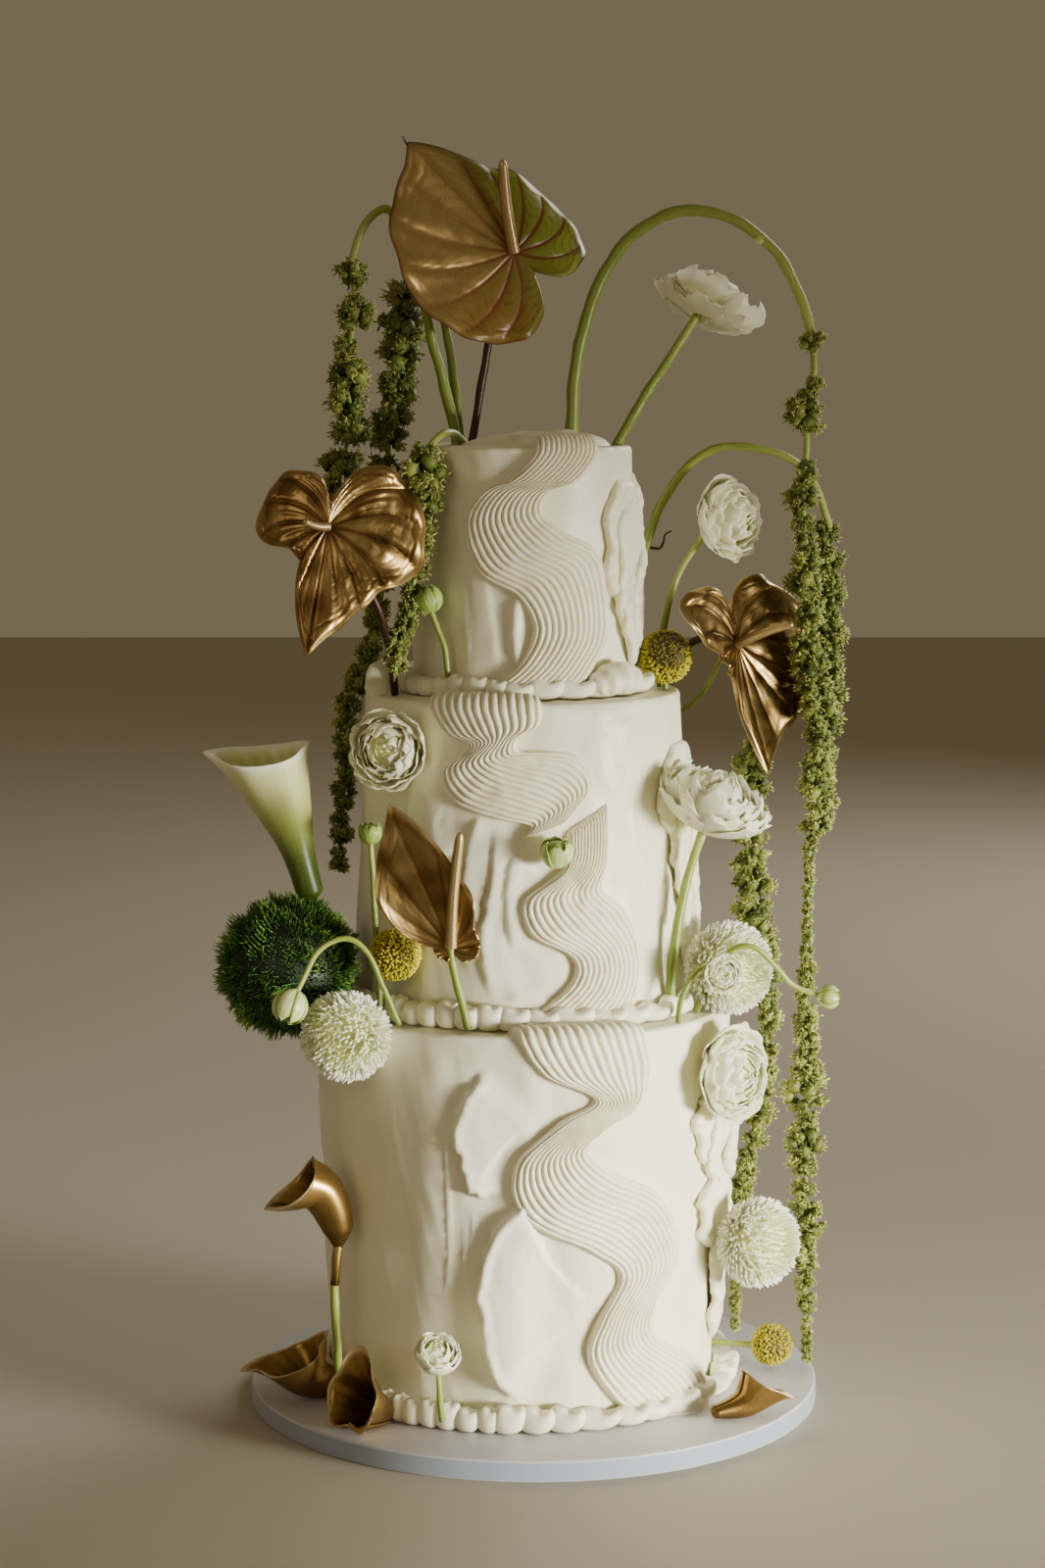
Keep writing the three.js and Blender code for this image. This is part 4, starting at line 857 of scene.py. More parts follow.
# The crown leaf is metal only where it is gilded; the rest is glossy leaf with dark red veins.
crown_leaf = surface("half gilded leaf", ["785f20", "745f20", "68661f", "6e7620", "8e963c"], 0.34, 2.4, 0.05,
                     Specular_IOR_Level=0.35)
crown_tree = crown_leaf.node_tree
crown_shader = crown_tree.nodes["Principled BSDF"]
leaf_colour = crown_shader.inputs["Base Color"].links[0].from_node
vein_brush = add_node(crown_tree, "ShaderNodeAttribute", {"attribute_name": "vein"})
gilt_brush = add_node(crown_tree, "ShaderNodeAttribute", {"attribute_name": "gilt"})
veined = add_node(
    crown_tree, "ShaderNodeMix", {"data_type": "RGBA", 7: linear("6c1c1c")},
    (0, vein_brush, "Fac"), (6, leaf_colour, 0),
)
gilded = add_node(
    crown_tree, "ShaderNodeMix", {"data_type": "RGBA", 7: linear("c2a26c")},
    (0, gilt_brush, "Fac"), (6, veined, 2),
)
crown_tree.links.new(gilded.outputs[2], crown_shader.inputs["Base Color"])
crown_tree.links.new(gilt_brush.outputs["Fac"], crown_shader.inputs["Metallic"])

heart_leaf("heart_crown", HEARTS["heart_crown"], crown_leaf, crown_paint)
for heart_name in ("heart_left", "heart_right", "heart_front"):
    heart_leaf(heart_name, HEARTS[heart_name], gilded_leaf)
for heart_name, heart in HEARTS.items():
    spike(heart_name, heart, gilded_spike)
    stalk = fresh_stem if heart_name == "heart_front" else bronzed_stem
    stem(f"{heart_name}_stem", heart["stem"], 2.5, 2.3, stalk)

# The dry thread in which the crown leaf ends
TIP_THREAD = [(-73.6, -13.6, 773.4), (-76.5, -14, 777.5), (-78.9, -14, 781.8)]
stem("heart_crown_thread", TIP_THREAD, 0.9, 0.4, bronzed_stem)

# Ranunculus
# White garden ranunculus: some thirty to forty paper-thin petals in a close spiral cup, cream in the depths
# and faintly green at the heart. They differ in how far they have opened.
RANUNCULUS = {
    "ranunculus_crown": {
        "at": (107, 5, 686), "faces": (0.42, 0.3, 0.86), "radius": 35, "flat": 0.42,
        "layers": 7, "open": 1.0, "ragged": 3.6,
        "stem": [(48, 0, 592), (66, 1, 624), (87, 3, 656), (103, 5, 680)],
    },
    "ranunculus_high": {
        "at": (123, 10, 552), "faces": (0.75, -0.62, 0.2), "radius": 27, "flat": 0.75,
        "layers": 9, "open": 0.7, "ragged": 1.3,
        "stem": [(78, 2, 448), (80, 5, 480), (88, 8, 514), (108, 12, 546)],
    },
    "ranunculus_behind": {
        "at": (124, 42, 486), "faces": (0.5, -0.1, 0.85), "radius": 20, "flat": 0.6,
        "layers": 7, "open": 0.5, "ragged": 1.0,
        "stem": [(86, 38, 424), (107, 42, 441), (123, 42, 474)],
    },
    "ranunculus_left": {
        "at": (-88, -84, 418), "faces": (-0.35, -0.92, 0.1), "radius": 25, "flat": 0.55,
        "layers": 9, "open": 0.5, "ragged": 1.5,
        "stem": None,
    },
    "ranunculus_right": {
        "at": (109, -60, 387), "faces": (0.35, -0.15, 0.9), "radius": 37, "flat": 0.6,
        "layers": 10, "open": 0.6, "ragged": 1.7,
        "stem": [(82, -64, 262), (84, -64, 290), (92, -60, 335), (103, -58, 370)],
    },
    "ranunculus_rim": {
        "at": (122, -76, 220), "faces": (0.72, -0.66, 0.05), "radius": 31, "flat": 0.5,
        "layers": 10, "open": 0.6, "ragged": 1.5,
        "stem": None,
    },
    "ranunculus_small": {
        "at": (113, -88, 284), "faces": (0.2, -0.93, 0.15), "radius": 12.5, "flat": 0.6,
        "layers": 7, "open": 0.3, "ragged": 1.2,
        "stem": [(86, -84, 250), (89, -84, 270), (98, -82, 285), (109, -82, 288)],
    },
    "ranunculus_base": {
        "at": (-57, -139, 66), "faces": (0.2, -0.5, 0.8), "radius": 14.5, "flat": 0.85,
        "layers": 6, "open": 0.2, "ragged": 1.0,
        "stem": [(-55, -136, 24), (-56, -138, 40), (-57, -139, 58)],
    },
}
PETAL_SHEET = 0.45


def flower_frame(faces):
    """Two directions across a flower and the one that it faces."""
    axis = unit(faces)
    side = unit(np.cross(axis, (0.32, 0.24, 0.92)))
    return side, np.cross(axis, side), axis


def on_flower(centre, directions, out, turn, height):
    """Points by their distance from a flower's axis, their turn round it and their height along it."""
    side, other, axis = directions
    level = (out * np.cos(turn))[..., None] * side
    return centre + level + (out * np.sin(turn))[..., None] * other + height[..., None] * axis


def ranunculus(name, flower, material, seed):
    draw = np.random.default_rng(seed)
    directions = flower_frame(flower["faces"])
    centre = np.array(flower["at"], float)
    radius, flat, layers = flower["radius"], flower["flat"], flower["layers"]
    rows, columns = 12, 21
    up = np.linspace(0, 1, rows)[:, None]
    across = np.linspace(1, -1, columns)[None]
    foot = math.radians(10)
    fronts, backs, tints = [], [], []
    for layer in range(layers):
        depth = layer / (layers - 1)
        out = 0.1 + 0.9 * depth ** 0.8
        opened = flower["open"] * depth ** 2
        count = 3 if depth < 0.3 else 4 if depth < 0.7 else 5
        for petal in range(count):
            turn = 2.4 * layer + math.tau * petal / count + draw.uniform(-0.3, 0.3)
            half = math.tau / count * draw.uniform(0.7, 0.95)
            top = math.radians(158 - 48 * depth - 26 * opened + flower["ragged"] * draw.uniform(-11, 7))
            toothed = 0.036 * np.sin(across * draw.uniform(7, 10) + petal)
            toothed = flower["ragged"] * (toothed + 0.022 * np.sin(across * 21 + 2 * petal))
            rounded = 1 - 0.3 * np.abs(across) ** 2.2 + toothed
            polar = foot + (top - foot) * up * rounded
            wide = half * (0.3 + 0.7 * np.sin(math.pi * (0.1 + 0.6 * up)))
            angle = turn + wide * across
            waves = np.sin(across * draw.uniform(4, 7) + draw.uniform(0, 6))
            waves = waves + 0.5 * np.sin(across * draw.uniform(9, 14) + draw.uniform(0, 6))
            size = out * draw.uniform(0.88, 1.0) - 0.05 * (1 - opened) * up ** 2 + 0.12 * opened * up ** 4
            size = size + 0.034 * up ** 2.5 * waves * (0.35 + 0.65 * depth)
            for sheets, sheet in ((fronts, 0), (backs, PETAL_SHEET)):
                ring = np.clip(size, 0.04, 1.06) * radius - sheet
                tall = (0.66 + 0.34 * out) * flat * radius * (1 + 0.05 * waves * up ** 2) - sheet
                height = -tall * np.cos(polar)
                sheets.append(on_flower(centre, directions, ring * np.sin(polar), angle, height))
            # Painted light and shade: the wave crests are a little lighter and the folds and sides of each
            # petal darker. The rise towards the edges and the outer layers is the petals' own green-to-white.
            tints.append(0.42 + 0.33 * depth + 0.4 * up - 0.05 * np.abs(across) + 0.03 * waves * up)
    points = np.stack([np.array(fronts), np.array(backs)])
    copies = len(fronts)
    add_piece(name, points, slab_faces(rows, columns, copies), material, [name], np.stack([tints] * 2))
    rings, sides = 20, 36
    level = np.linspace(-1, 1, rings)
    middle = centre + (0.5 * flat * radius * level - 0.1 * flat * radius)[:, None] * directions[2]
    heart = tubes(middle[None], (0.5 * radius * np.sqrt(1.002 - level ** 2))[None], sides)
    tint = np.full(heart.shape[:3], 0.5)
    add_piece(f"{name}_heart", heart, ring_faces(rings, sides), material, (), tint)
    if flower["stem"]:
        thick, thin = max(1.7, radius * 0.085), max(1.6, radius * 0.075)
        stem(f"{name}_stem", flower["stem"], thick, thin, fresh_stem)


# White petal: paper-thin and silky, so light passes through it; whitest at the edges, with painted shade in
# the folds.
white_petal = surface(
    "white ranunculus petal", ["9cab46", "dde28e", "f4f5b8", "fefdd6"], 0.5, 2.5, 0.06,
    Subsurface_Weight=0.6, Subsurface_Radius=(0.9, 1.0, 0.9), Subsurface_Scale=0.004,
)
for seed, (flower_name, flower) in enumerate(RANUNCULUS.items()):
    ranunculus(flower_name, flower, white_petal, 100 + seed)

# Pompon chrysanthemums
# Some eight hundred short white petals each, rolled lengthwise, radiating from a greenish heart.
MUMS = {
    "mum_left": {"at": (-112, -102, 249), "faces": (-0.2, -0.95, -0.1), "radius": 29, "heart": 0.5},
    "mum_right": {"at": (119, -46, 280), "faces": (0.5, -0.8, 0.1), "radius": 30, "heart": 0.1},
    "mum_low": {"at": (138, -52, 110), "faces": (0.6, -0.78, 0.05), "radius": 29, "heart": 0.4},
}
MUM_PETALS = 820
MUM_FLAT = 0.82
MUM_CORE = 0.72  # the core under the petals, as a share of the radius
GREEN_HEART = 0.42  # how far the green reaches from the middle, in radians
GOLDEN_ANGLE = math.pi * (3 - math.sqrt(5))


def bowed_paths(start, control, end, steps):
    """Smooth curves from start to end, drawn towards control."""
    t = np.linspace(0, 1, steps)[None, :, None]
    return (1 - t) ** 2 * start[:, None] + 2 * t * (1 - t) * control[:, None] + t ** 2 * end[:, None]


def mum(name, flower, material, seed):
    draw = np.random.default_rng(seed)
    side, other, axis = flower_frame(flower["faces"])
    centre, radius = np.array(flower["at"], float), flower["radius"]
    number = np.arange(MUM_PETALS) + 0.5
    polar = np.arccos(1 - 1.66 * number / MUM_PETALS) + draw.uniform(-0.06, 0.06, MUM_PETALS)
    turn = number * GOLDEN_ANGLE + draw.uniform(-0.1, 0.1, MUM_PETALS)
    ring = (np.cos(turn)[:, None] * side + np.sin(turn)[:, None] * other)

    def toward(polar_angle, reach):
        flat_out = (np.sin(polar_angle) * reach)[:, None] * ring
        return centre + radius * (flat_out + (np.cos(polar_angle) * reach * MUM_FLAT)[:, None] * axis)

    length = draw.uniform(0.93, 1.0, MUM_PETALS)
    start = toward(polar, 0.5 + 0 * polar)
    control = toward(polar + 0.34 * np.sin(polar + 0.25), 0.8 + 0 * polar)
    end = toward(polar, length)
    steps, sides = 7, 6
    t = np.linspace(0, 1, steps)
    wide = 0.056 * radius * (0.6 + 0.4 * np.sin(np.minimum(polar, 1.57)))[:, None]
    radii = wide * (0.5 + 0.5 * t[None]) * np.sqrt(np.clip(1 - t[None] ** 5, 0.03, 1))
    paths = bowed_paths(start, control, end, steps)
    points = tubes(paths, radii, sides, flat=0.42, across=np.cross(axis, ring))
    tint = 0.4 + 0.5 * t[None, :, None] + 0.15 * (np.minimum(polar, 1.2) / 1.2)[:, None, None]
    green = 0.5 * flower["heart"] * np.exp(-(polar / GREEN_HEART) ** 2)[:, None, None]
    tint = tint - green * (1.4 - t[None, :, None])
    tint = tint + draw.uniform(-0.05, 0.05, MUM_PETALS)[:, None, None]
    add_piece(name, points, ring_faces(steps, sides, MUM_PETALS), material, [name],
              np.broadcast_to(tint, points.shape[:3]))
    rings, sides = 24, 32
    level = np.linspace(-1, 1, rings)
    middle = centre + (MUM_CORE * level)[:, None] * MUM_FLAT * radius * axis
    core = tubes(middle[None], (MUM_CORE * radius * np.sqrt(1.002 - level ** 2))[None], sides)
    tint = np.full(core.shape[:3], 0.42)
    add_piece(f"{name}_core", core, ring_faces(rings, sides), material, (), tint)


# Chrysanthemum petal: fleshier than the ranunculus, matt white, green towards its root.
mum_petal = surface(
    "chrysanthemum petal", ["85934a", "d0d48c", "f1f4ca", "fefee8"], 0.52, 2.0, 0.05,
    Subsurface_Weight=0.5, Subsurface_Radius=(0.9, 0.85, 0.6), Subsurface_Scale=0.003,
)
for seed, (flower_name, flower) in enumerate(MUMS.items()):
    mum(flower_name, flower, mum_petal, 120 + seed)

# Drumstick flowers
# Firm balls of some seven hundred tiny tube flowers in crossing spirals. The one on the ledge is older,
# with a dark dotted top and a golden rim.
BUTTONS = {
    "button_ledge": {"at": (81, -4, 467), "radius": 17.5, "faces": (0.1, -0.85, 0.5), "dark": 1.0,
                     "stem": [(81, -4, 446), (81, -4, 456)]},
    "button_left": {"at": (-83, -90, 296), "radius": 16.5, "faces": (0, -0.9, 0.4), "dark": 0.0,
                    "stem": None},
    "button_base": {"at": (151, 3, 29), "radius": 14, "faces": (0.7, -0.6, 0.3), "dark": 0.35,
                    "stem": [(104, 3, 31), (124, 3, 30), (141, 3, 29)]},
}
BUTTON_FLORETS = 740
FLORET_LONG = 0.2
FLORET_SHAPE = [0.7, 0.85, 1.0, 0.8, 0.3]


def ways_out(polar, turn):
    """Directions by their angle from straight up and their turn round it."""
    level = np.sin(polar)
    return np.stack([level * np.cos(turn), level * np.sin(turn), np.cos(polar) + 0 * turn], axis=-1)


def ball(name, centre, radius, material, shade=0.1, uneven=0.03):
    """A slightly uneven ball."""
    polar = np.linspace(math.pi - 0.02, 0.02, 26)[:, None]
    turn = np.linspace(0, math.tau, 40, endpoint=False)[None]
    way = ways_out(polar, turn)
    size = radius * (1 + uneven * soft_noise(way * 10, 7, 9))
    points = np.array(centre) + size[..., None] * way
    add_piece(name, points, ring_faces(*size.shape), material, (), np.full(size.shape, shade))


def button(name, flower, material, seed):
    draw = np.random.default_rng(seed)
    side, other, axis = flower_frame(flower["faces"])
    centre, radius = np.array(flower["at"], float), flower["radius"]
    number = np.arange(BUTTON_FLORETS) + 0.5
    polar = np.arccos(1 - 2 * number / BUTTON_FLORETS)
    turn = number * GOLDEN_ANGLE
    way = np.sin(polar)[:, None] * (np.cos(turn)[:, None] * side + np.sin(turn)[:, None] * other)
    way = way + np.cos(polar)[:, None] * axis
    dark = flower["dark"] * smoothstep(1.05, 0.75, polar)
    reach = radius * (0.965 + 0.03 * draw.normal(size=BUTTON_FLORETS).clip(-1, 1) - 0.03 * dark)
    lean = unit(way + 0.25 * draw.normal(size=way.shape))
    steps, sides = 5, 5
    t = np.linspace(0, 1, steps)
    long = FLORET_LONG * radius
    paths = centre + (reach[:, None] - long)[:, :, None] * way[:, None]
    paths = paths + (long * t)[None, :, None] * lean[:, None]
    radii = 0.066 * radius * np.array(FLORET_SHAPE)[None] * draw.uniform(0.85, 1.1, (BUTTON_FLORETS, 1))
    points = tubes(paths, radii, sides)
    tint = 0.3 + 0.52 * t[None, :, None] - 0.42 * dark[:, None, None]
    tint = tint + draw.uniform(-0.08, 0.08, (BUTTON_FLORETS, 1, 1))
    add_piece(name, points, ring_faces(steps, sides, BUTTON_FLORETS), material, [name],
              np.broadcast_to(np.clip(tint, 0, 1), points.shape[:3]))
    ball(f"{name}_core", centre, radius * 0.86, material, shade=0.06)
    if flower["stem"]:
        stem(f"{name}_stem", flower["stem"], 1.8, 1.8, fresh_stem)


# Drumstick floret: powdery matt yellow, olive brown where it is old or in shade.
drumstick_floret = surface("drumstick floret", ["2b260c", "6f6516", "b3a41c", "e6d640"], 0.7, 1.2, 0.1)
for seed, (flower_name, flower) in enumerate(BUTTONS.items()):
    button(flower_name, flower, drumstick_floret, 130 + seed)

# Buds
# Closed green buds wrapped in a few overlapping sepals, on thin bare stems.
BUDS = {
    "bud_ledge": {"at": (-63, -58, 506), "radius": 9, "sepals": 7, "spread": 0.0,
                  "stem": [(-51, -58, 448), (-54, -58, 478), (-62, -58, 500)], "pale": 0.0},
    "bud_left": {"at": (-98, -76, 367), "radius": 7, "sepals": 9, "spread": 0.35,
                 "stem": [(-92, -88, 255), (-95, -80, 320), (-98, -76, 362)], "pale": -0.05},
    "bud_wave": {"at": (13, -111, 360), "radius": 9.5, "sepals": 6, "spread": 0.3, "stem": None, "pale": 0.2},
    "bud_nodding": {"at": (-144, -117, 270), "radius": 11, "sepals": 6, "spread": 0.1,
                    "stem": [(-80, -101, 256), (-90, -105, 280), (-100, -108, 302), (-113, -110, 309),
                             (-128, -112, 301), (-140, -115, 278)], "pale": 0.25},
    "bud_right": {"at": (179, -56, 264), "radius": 7.5, "sepals": 6, "spread": 0.1,
                  "stem": [(98, -54, 252), (106, -58, 272), (118, -66, 294), (132, -68, 297), (146, -64, 284),
                           (158, -58, 271), (173, -56, 265)], "pale": 0.1},
}


def bud(name, flower, material, seed):
    draw = np.random.default_rng(seed)
    centre, radius = np.array(flower["at"], float), flower["radius"]
    axis = unit((0, -0.3, 1))
    if flower["stem"]:
        axis = unit(centre - np.array(flower["stem"][-1]))
    directions = flower_frame(axis)
    rows, columns = 16, 10
    up = np.linspace(0, 1, rows)[:, None]
    across = np.linspace(1, -1, columns)[None]
    fronts, backs, tints = [], [], []
    for sepal in range(flower["sepals"]):
        turn = math.tau * sepal / flower["sepals"] + draw.uniform(-0.1, 0.1)
        polar = math.radians(8) + math.radians(158) * up * (1 - 0.12 * across ** 2)
        wide = math.tau / flower["sepals"] * 0.85 * (1 - up ** 2.4) ** 0.5
        angle = turn + wide * across
        size = radius * (0.9 + 0.05 * across + 0.04 * (1 - across ** 2) + 0.02 * (sepal % 2))
        spread = flower["spread"] * radius * up ** 3
        for sheets, sheet in ((fronts, 0), (backs, 0.6)):
            out = (size - sheet) * np.sin(polar) + spread
            sheets.append(on_flower(centre, directions, out, angle, -(size - sheet) * np.cos(polar)))
        stripes = 0.12 * np.sin(across * 14) + 0 * angle
        tints.append(0.18 + flower["pale"] + 0.38 * (1 - across ** 2) + stripes)
    faces = slab_faces(rows, columns, len(fronts))
    add_piece(name, np.stack([fronts, backs]), faces, material, [name], np.stack([tints] * 2))
    ball(f"{name}_core", centre, radius * 0.84, material, shade=0.3)
    if flower["stem"]:
        stem(f"{name}_stem", flower["stem"], 1.8, 1.6, fresh_stem)


# Bud sepal: the same wet green as the stems, glossier, with pale stripes along it.
bud_sepal = surface(
    "green bud sepal", ["4a6a1e", "84a040", "bccb7e", "e0e6ae"], 0.35, 1.6, 0.08,
    Subsurface_Weight=0.25, Subsurface_Radius=(0.6, 1.0, 0.3), Subsurface_Scale=0.002,
)
for seed, (flower_name, flower) in enumerate(BUDS.items()):
    bud(flower_name, flower, bud_sepal, 140 + seed)

# Moss-like ball flower
# A round head of several thousand thin green bristles over a heart painted near black as shade.
MOSS_AT = (-149, -56, 283)
MOSS_RADIUS = 46
MOSS_BRISTLES = 4200
BRISTLE_LONG = 13
BRISTLE_RADIUS = [0.5, 0.6, 0.55, 0.42, 0.1]
BRISTLE_SIDES = 3
moss_draw = np.random.default_rng(150)
moss_number = np.arange(MOSS_BRISTLES) + 0.5
moss_polar = np.arccos(1 - 2 * moss_number / MOSS_BRISTLES)
moss_turn = moss_number * GOLDEN_ANGLE
moss_way = ways_out(moss_polar, moss_turn)
moss_tuft = soft_noise(moss_way * 46, 20, 151)
moss_reach = 0.93 + 0.06 * moss_tuft + 0.06 * moss_draw.uniform(-1, 1, MOSS_BRISTLES)
moss_reach = MOSS_RADIUS * moss_reach.clip(0.78, 1.05)
moss_lean = unit(moss_way + 0.8 * moss_draw.normal(size=moss_way.shape) + [0, 0, 0.15])
moss_end = np.array(MOSS_AT) + moss_reach[:, None] * moss_way
moss_start = moss_end - BRISTLE_LONG * unit(moss_way + 0.9 * moss_lean)
moss_control = (moss_start + moss_end) / 2 + 2.6 * moss_lean
moss_paths = bowed_paths(moss_start, moss_control, moss_end, len(BRISTLE_RADIUS))
moss_radii = np.array(BRISTLE_RADIUS)[None] * moss_draw.uniform(0.8, 1.3, (MOSS_BRISTLES, 1))
moss_points = tubes(moss_paths, moss_radii, BRISTLE_SIDES)
moss_along = np.linspace(0, 1, len(BRISTLE_RADIUS))[None, :, None]
# Painted shade: each bristle is near black at its root, rising to its own yellow-green tip, and tufts that
# stand further out get painted light.
moss_tint = 0.05 + 0.7 * moss_along ** 1.5 + (0.16 * moss_tuft)[:, None, None]
moss_tint = moss_tint + moss_draw.uniform(-0.12, 0.12, (MOSS_BRISTLES, 1, 1))

# Bristles: dull leaf green with yellow-green tips; the near black between them is painted shade.
moss_bristle = surface("green bristle", ["0c1706", "264f12", "578a28", "b4d35e"], 0.5, 3.0, 0.05)
moss_faces = ring_faces(len(BRISTLE_RADIUS), BRISTLE_SIDES, MOSS_BRISTLES)
moss_tint = np.broadcast_to(np.clip(moss_tint, 0, 1), moss_points.shape[:3])
add_piece("moss_ball", moss_points, moss_faces, moss_bristle, ["moss_ball"], moss_tint)
# The heart under the bristles is painted near black: painted shade.
ball("moss_heart", MOSS_AT, MOSS_RADIUS * 0.83, moss_bristle, shade=0.02, uneven=0.02)

# Calla lilies
# One leathery leaf rolled into a trumpet with a long curled lip. One keeps its own cream and green;
# the other four are coated with gold, with painted shade down the throat.
CALLAS = {
    "calla_white": {
        "axis": [(-135, -50, 322), (-143, -52, 352), (-150, -54, 376), (-163, -60, 417)], "mouth": 25,
        "foot": 8, "flare": 2.1, "lip": (-1, -0.1, 0.1), "lip_long": 9, "neck": -0.2, "stem": None,
    },
    "calla_standing": {
        "axis": [(-118.5, -84, 113), (-120, -84, 131), (-128.5, -86, 150), (-143, -90, 157)], "mouth": 16,
        "foot": 3.5, "flare": 0.6, "lip": (-0.4, -0.1, -1), "lip_long": 13, "taper": 0.24,
        "stem": [(-117, -84, 13.4), (-119, -84, 50), (-121, -84, 92), (-118.5, -84, 116)],
    },
    "calla_board_back": {
        "axis": [(-118, -52, 21), (-137, -57, 27), (-149, -60, 43)], "mouth": 21.5, "foot": 5,
        "flare": 0.9, "lip": (-1, -0.15, -0.3), "lip_long": 10, "wavy": 0.14, "stem": None,
    },
    "calla_board_front": {
        "axis": [(-87, -108, 20.3), (-98, -115, 25.3), (-110, -125, 34.3)], "mouth": 19, "foot": 6,
        "flare": 0.9, "lip": (-0.5, 0.1, 1), "lip_long": 6, "wavy": 0.16, "stem": None,
    },
    "calla_board_right": {
        "axis": [(107, -104, 18), (127, -93, 21), (139, -87, 33)], "mouth": 14.5, "foot": 3.5,
        "flare": 1.1, "lip": (0.9, 0.2, -0.5), "lip_long": 8, "wavy": 0.14, "stem": None,
    },
}
CALLA_WALL = 1.2
# What a calla has where its own row says nothing else
LIP_WAVE = 0.07
NECK_TINT = 0.42
NECK_TAPER = 0.05


def calla(name, flower, material):
    rows, columns = 46, 72
    lap = math.radians(200)  # half the way round that the leaf is rolled, so its sides overlap
    share = np.concatenate([[0.0, 0.012, 0.03], np.linspace(0.05, 1, rows - 3)])
    path = spline(flower["axis"], share)
    tangent = unit(np.gradient(path, axis=0))
    first = np.array(flower["lip"], float)
    frames = []
    for row in range(rows - 1, -1, -1):
        first = unit(first - first @ tangent[row] * tangent[row])
        frames.append((first, np.cross(tangent[row], first)))
    frames = np.array(frames[::-1])
    share = share[:, None]
    across = np.linspace(1, -1, columns)[None]
    angle = across * lap
    mouth, foot = flower["mouth"], flower["foot"]
    lip = np.clip(np.cos(angle / 2), 0, 1) ** 6 * share ** 4
    wide = foot + (mouth - foot) * share ** flower["flare"]
    closed = np.sqrt(np.clip(share / flower.get("taper", NECK_TAPER), 0.001, 1))
    roll = smoothstep(0.9, 1, share)
    wavy = np.sin(3 * angle + 1 + 2 * share) + 0.6 * np.sin(5 * angle - 3 * share)
    wavy = flower.get("wavy", LIP_WAVE) * wavy
    reach = wide * (1 + 0.35 * lip) * (1 + wavy * share ** 3) + 0.8 * across
    forward = flower["lip_long"] * lip - 0.2 * mouth * share ** 4 * (1 - lip) - 1.6 * roll ** 2
    sheets = []
    for inset in (0.0, CALLA_WALL):
        thin = inset * np.sqrt(np.clip(1 - share ** 12, 0.05, 1))
        ring = ((reach - thin + 0.5 * roll) * closed)[..., None]
        sheets.append(
            path[:, None] + ring * (np.cos(angle)[..., None] * frames[:, None, 0]
                                    + np.sin(angle)[..., None] * frames[:, None, 1])
            + forward[..., None] * tangent[:, None]
        )
    # Painted light and shade: the lip is lighter as a painted highlight, and the inside darkens towards the
    # throat as painted shade; on the cream calla that darker end is also its own green.
    rim = smoothstep(0.93, 1, share) + 0 * angle
    outside = flower.get("neck", NECK_TINT) * (1 - share) + 0.42 * share + 0.3 * share ** 2
    outside = outside + 0.28 * rim + 0.015 * np.sin(angle * 22)
    inside = 0.22 + 0.42 * share ** 1.2 + 0.36 * rim + 0.05 * np.sin(angle * 17)
    add_piece(name, np.stack(sheets), slab_faces(rows, columns), material, [name],
              np.clip(np.stack([outside, inside]), 0, 1))


# Cream spathe: thick, smooth and softly glossy, green at its neck and inside the throat, where the darker
# green is partly painted shade.
cream_spathe = surface(
    "cream calla leaf", ["4f6120", "a3ad5c", "dcdaa6", "f4f2d8"], 0.36, 3.0, 0.05,
    Subsurface_Weight=0.35, Subsurface_Radius=(0.8, 0.9, 0.5), Subsurface_Scale=0.004,
)
# Gilded spathe: gold paint over the same leaf; the throat is painted nearly black as shade.
gilded_spathe = surface(
    "gilded calla leaf", ["1c130a", "57401f", "ae8b50", "ecd6aa"], 0.33, 1.8, 0.07, Metallic=0.9
)
for flower_name, flower in CALLAS.items():
    if flower_name == "calla_white":
        calla(flower_name, flower, cream_spathe)
    else:
        calla(flower_name, flower, gilded_spathe)
    if flower["stem"]:
        stem(f"{flower_name}_stem", flower["stem"], 2.6, 2.6, fresh_stem)
        stem(f"{flower_name}_neck", flower["stem"][-2:], 2.75, 3.1, gilded_spathe)

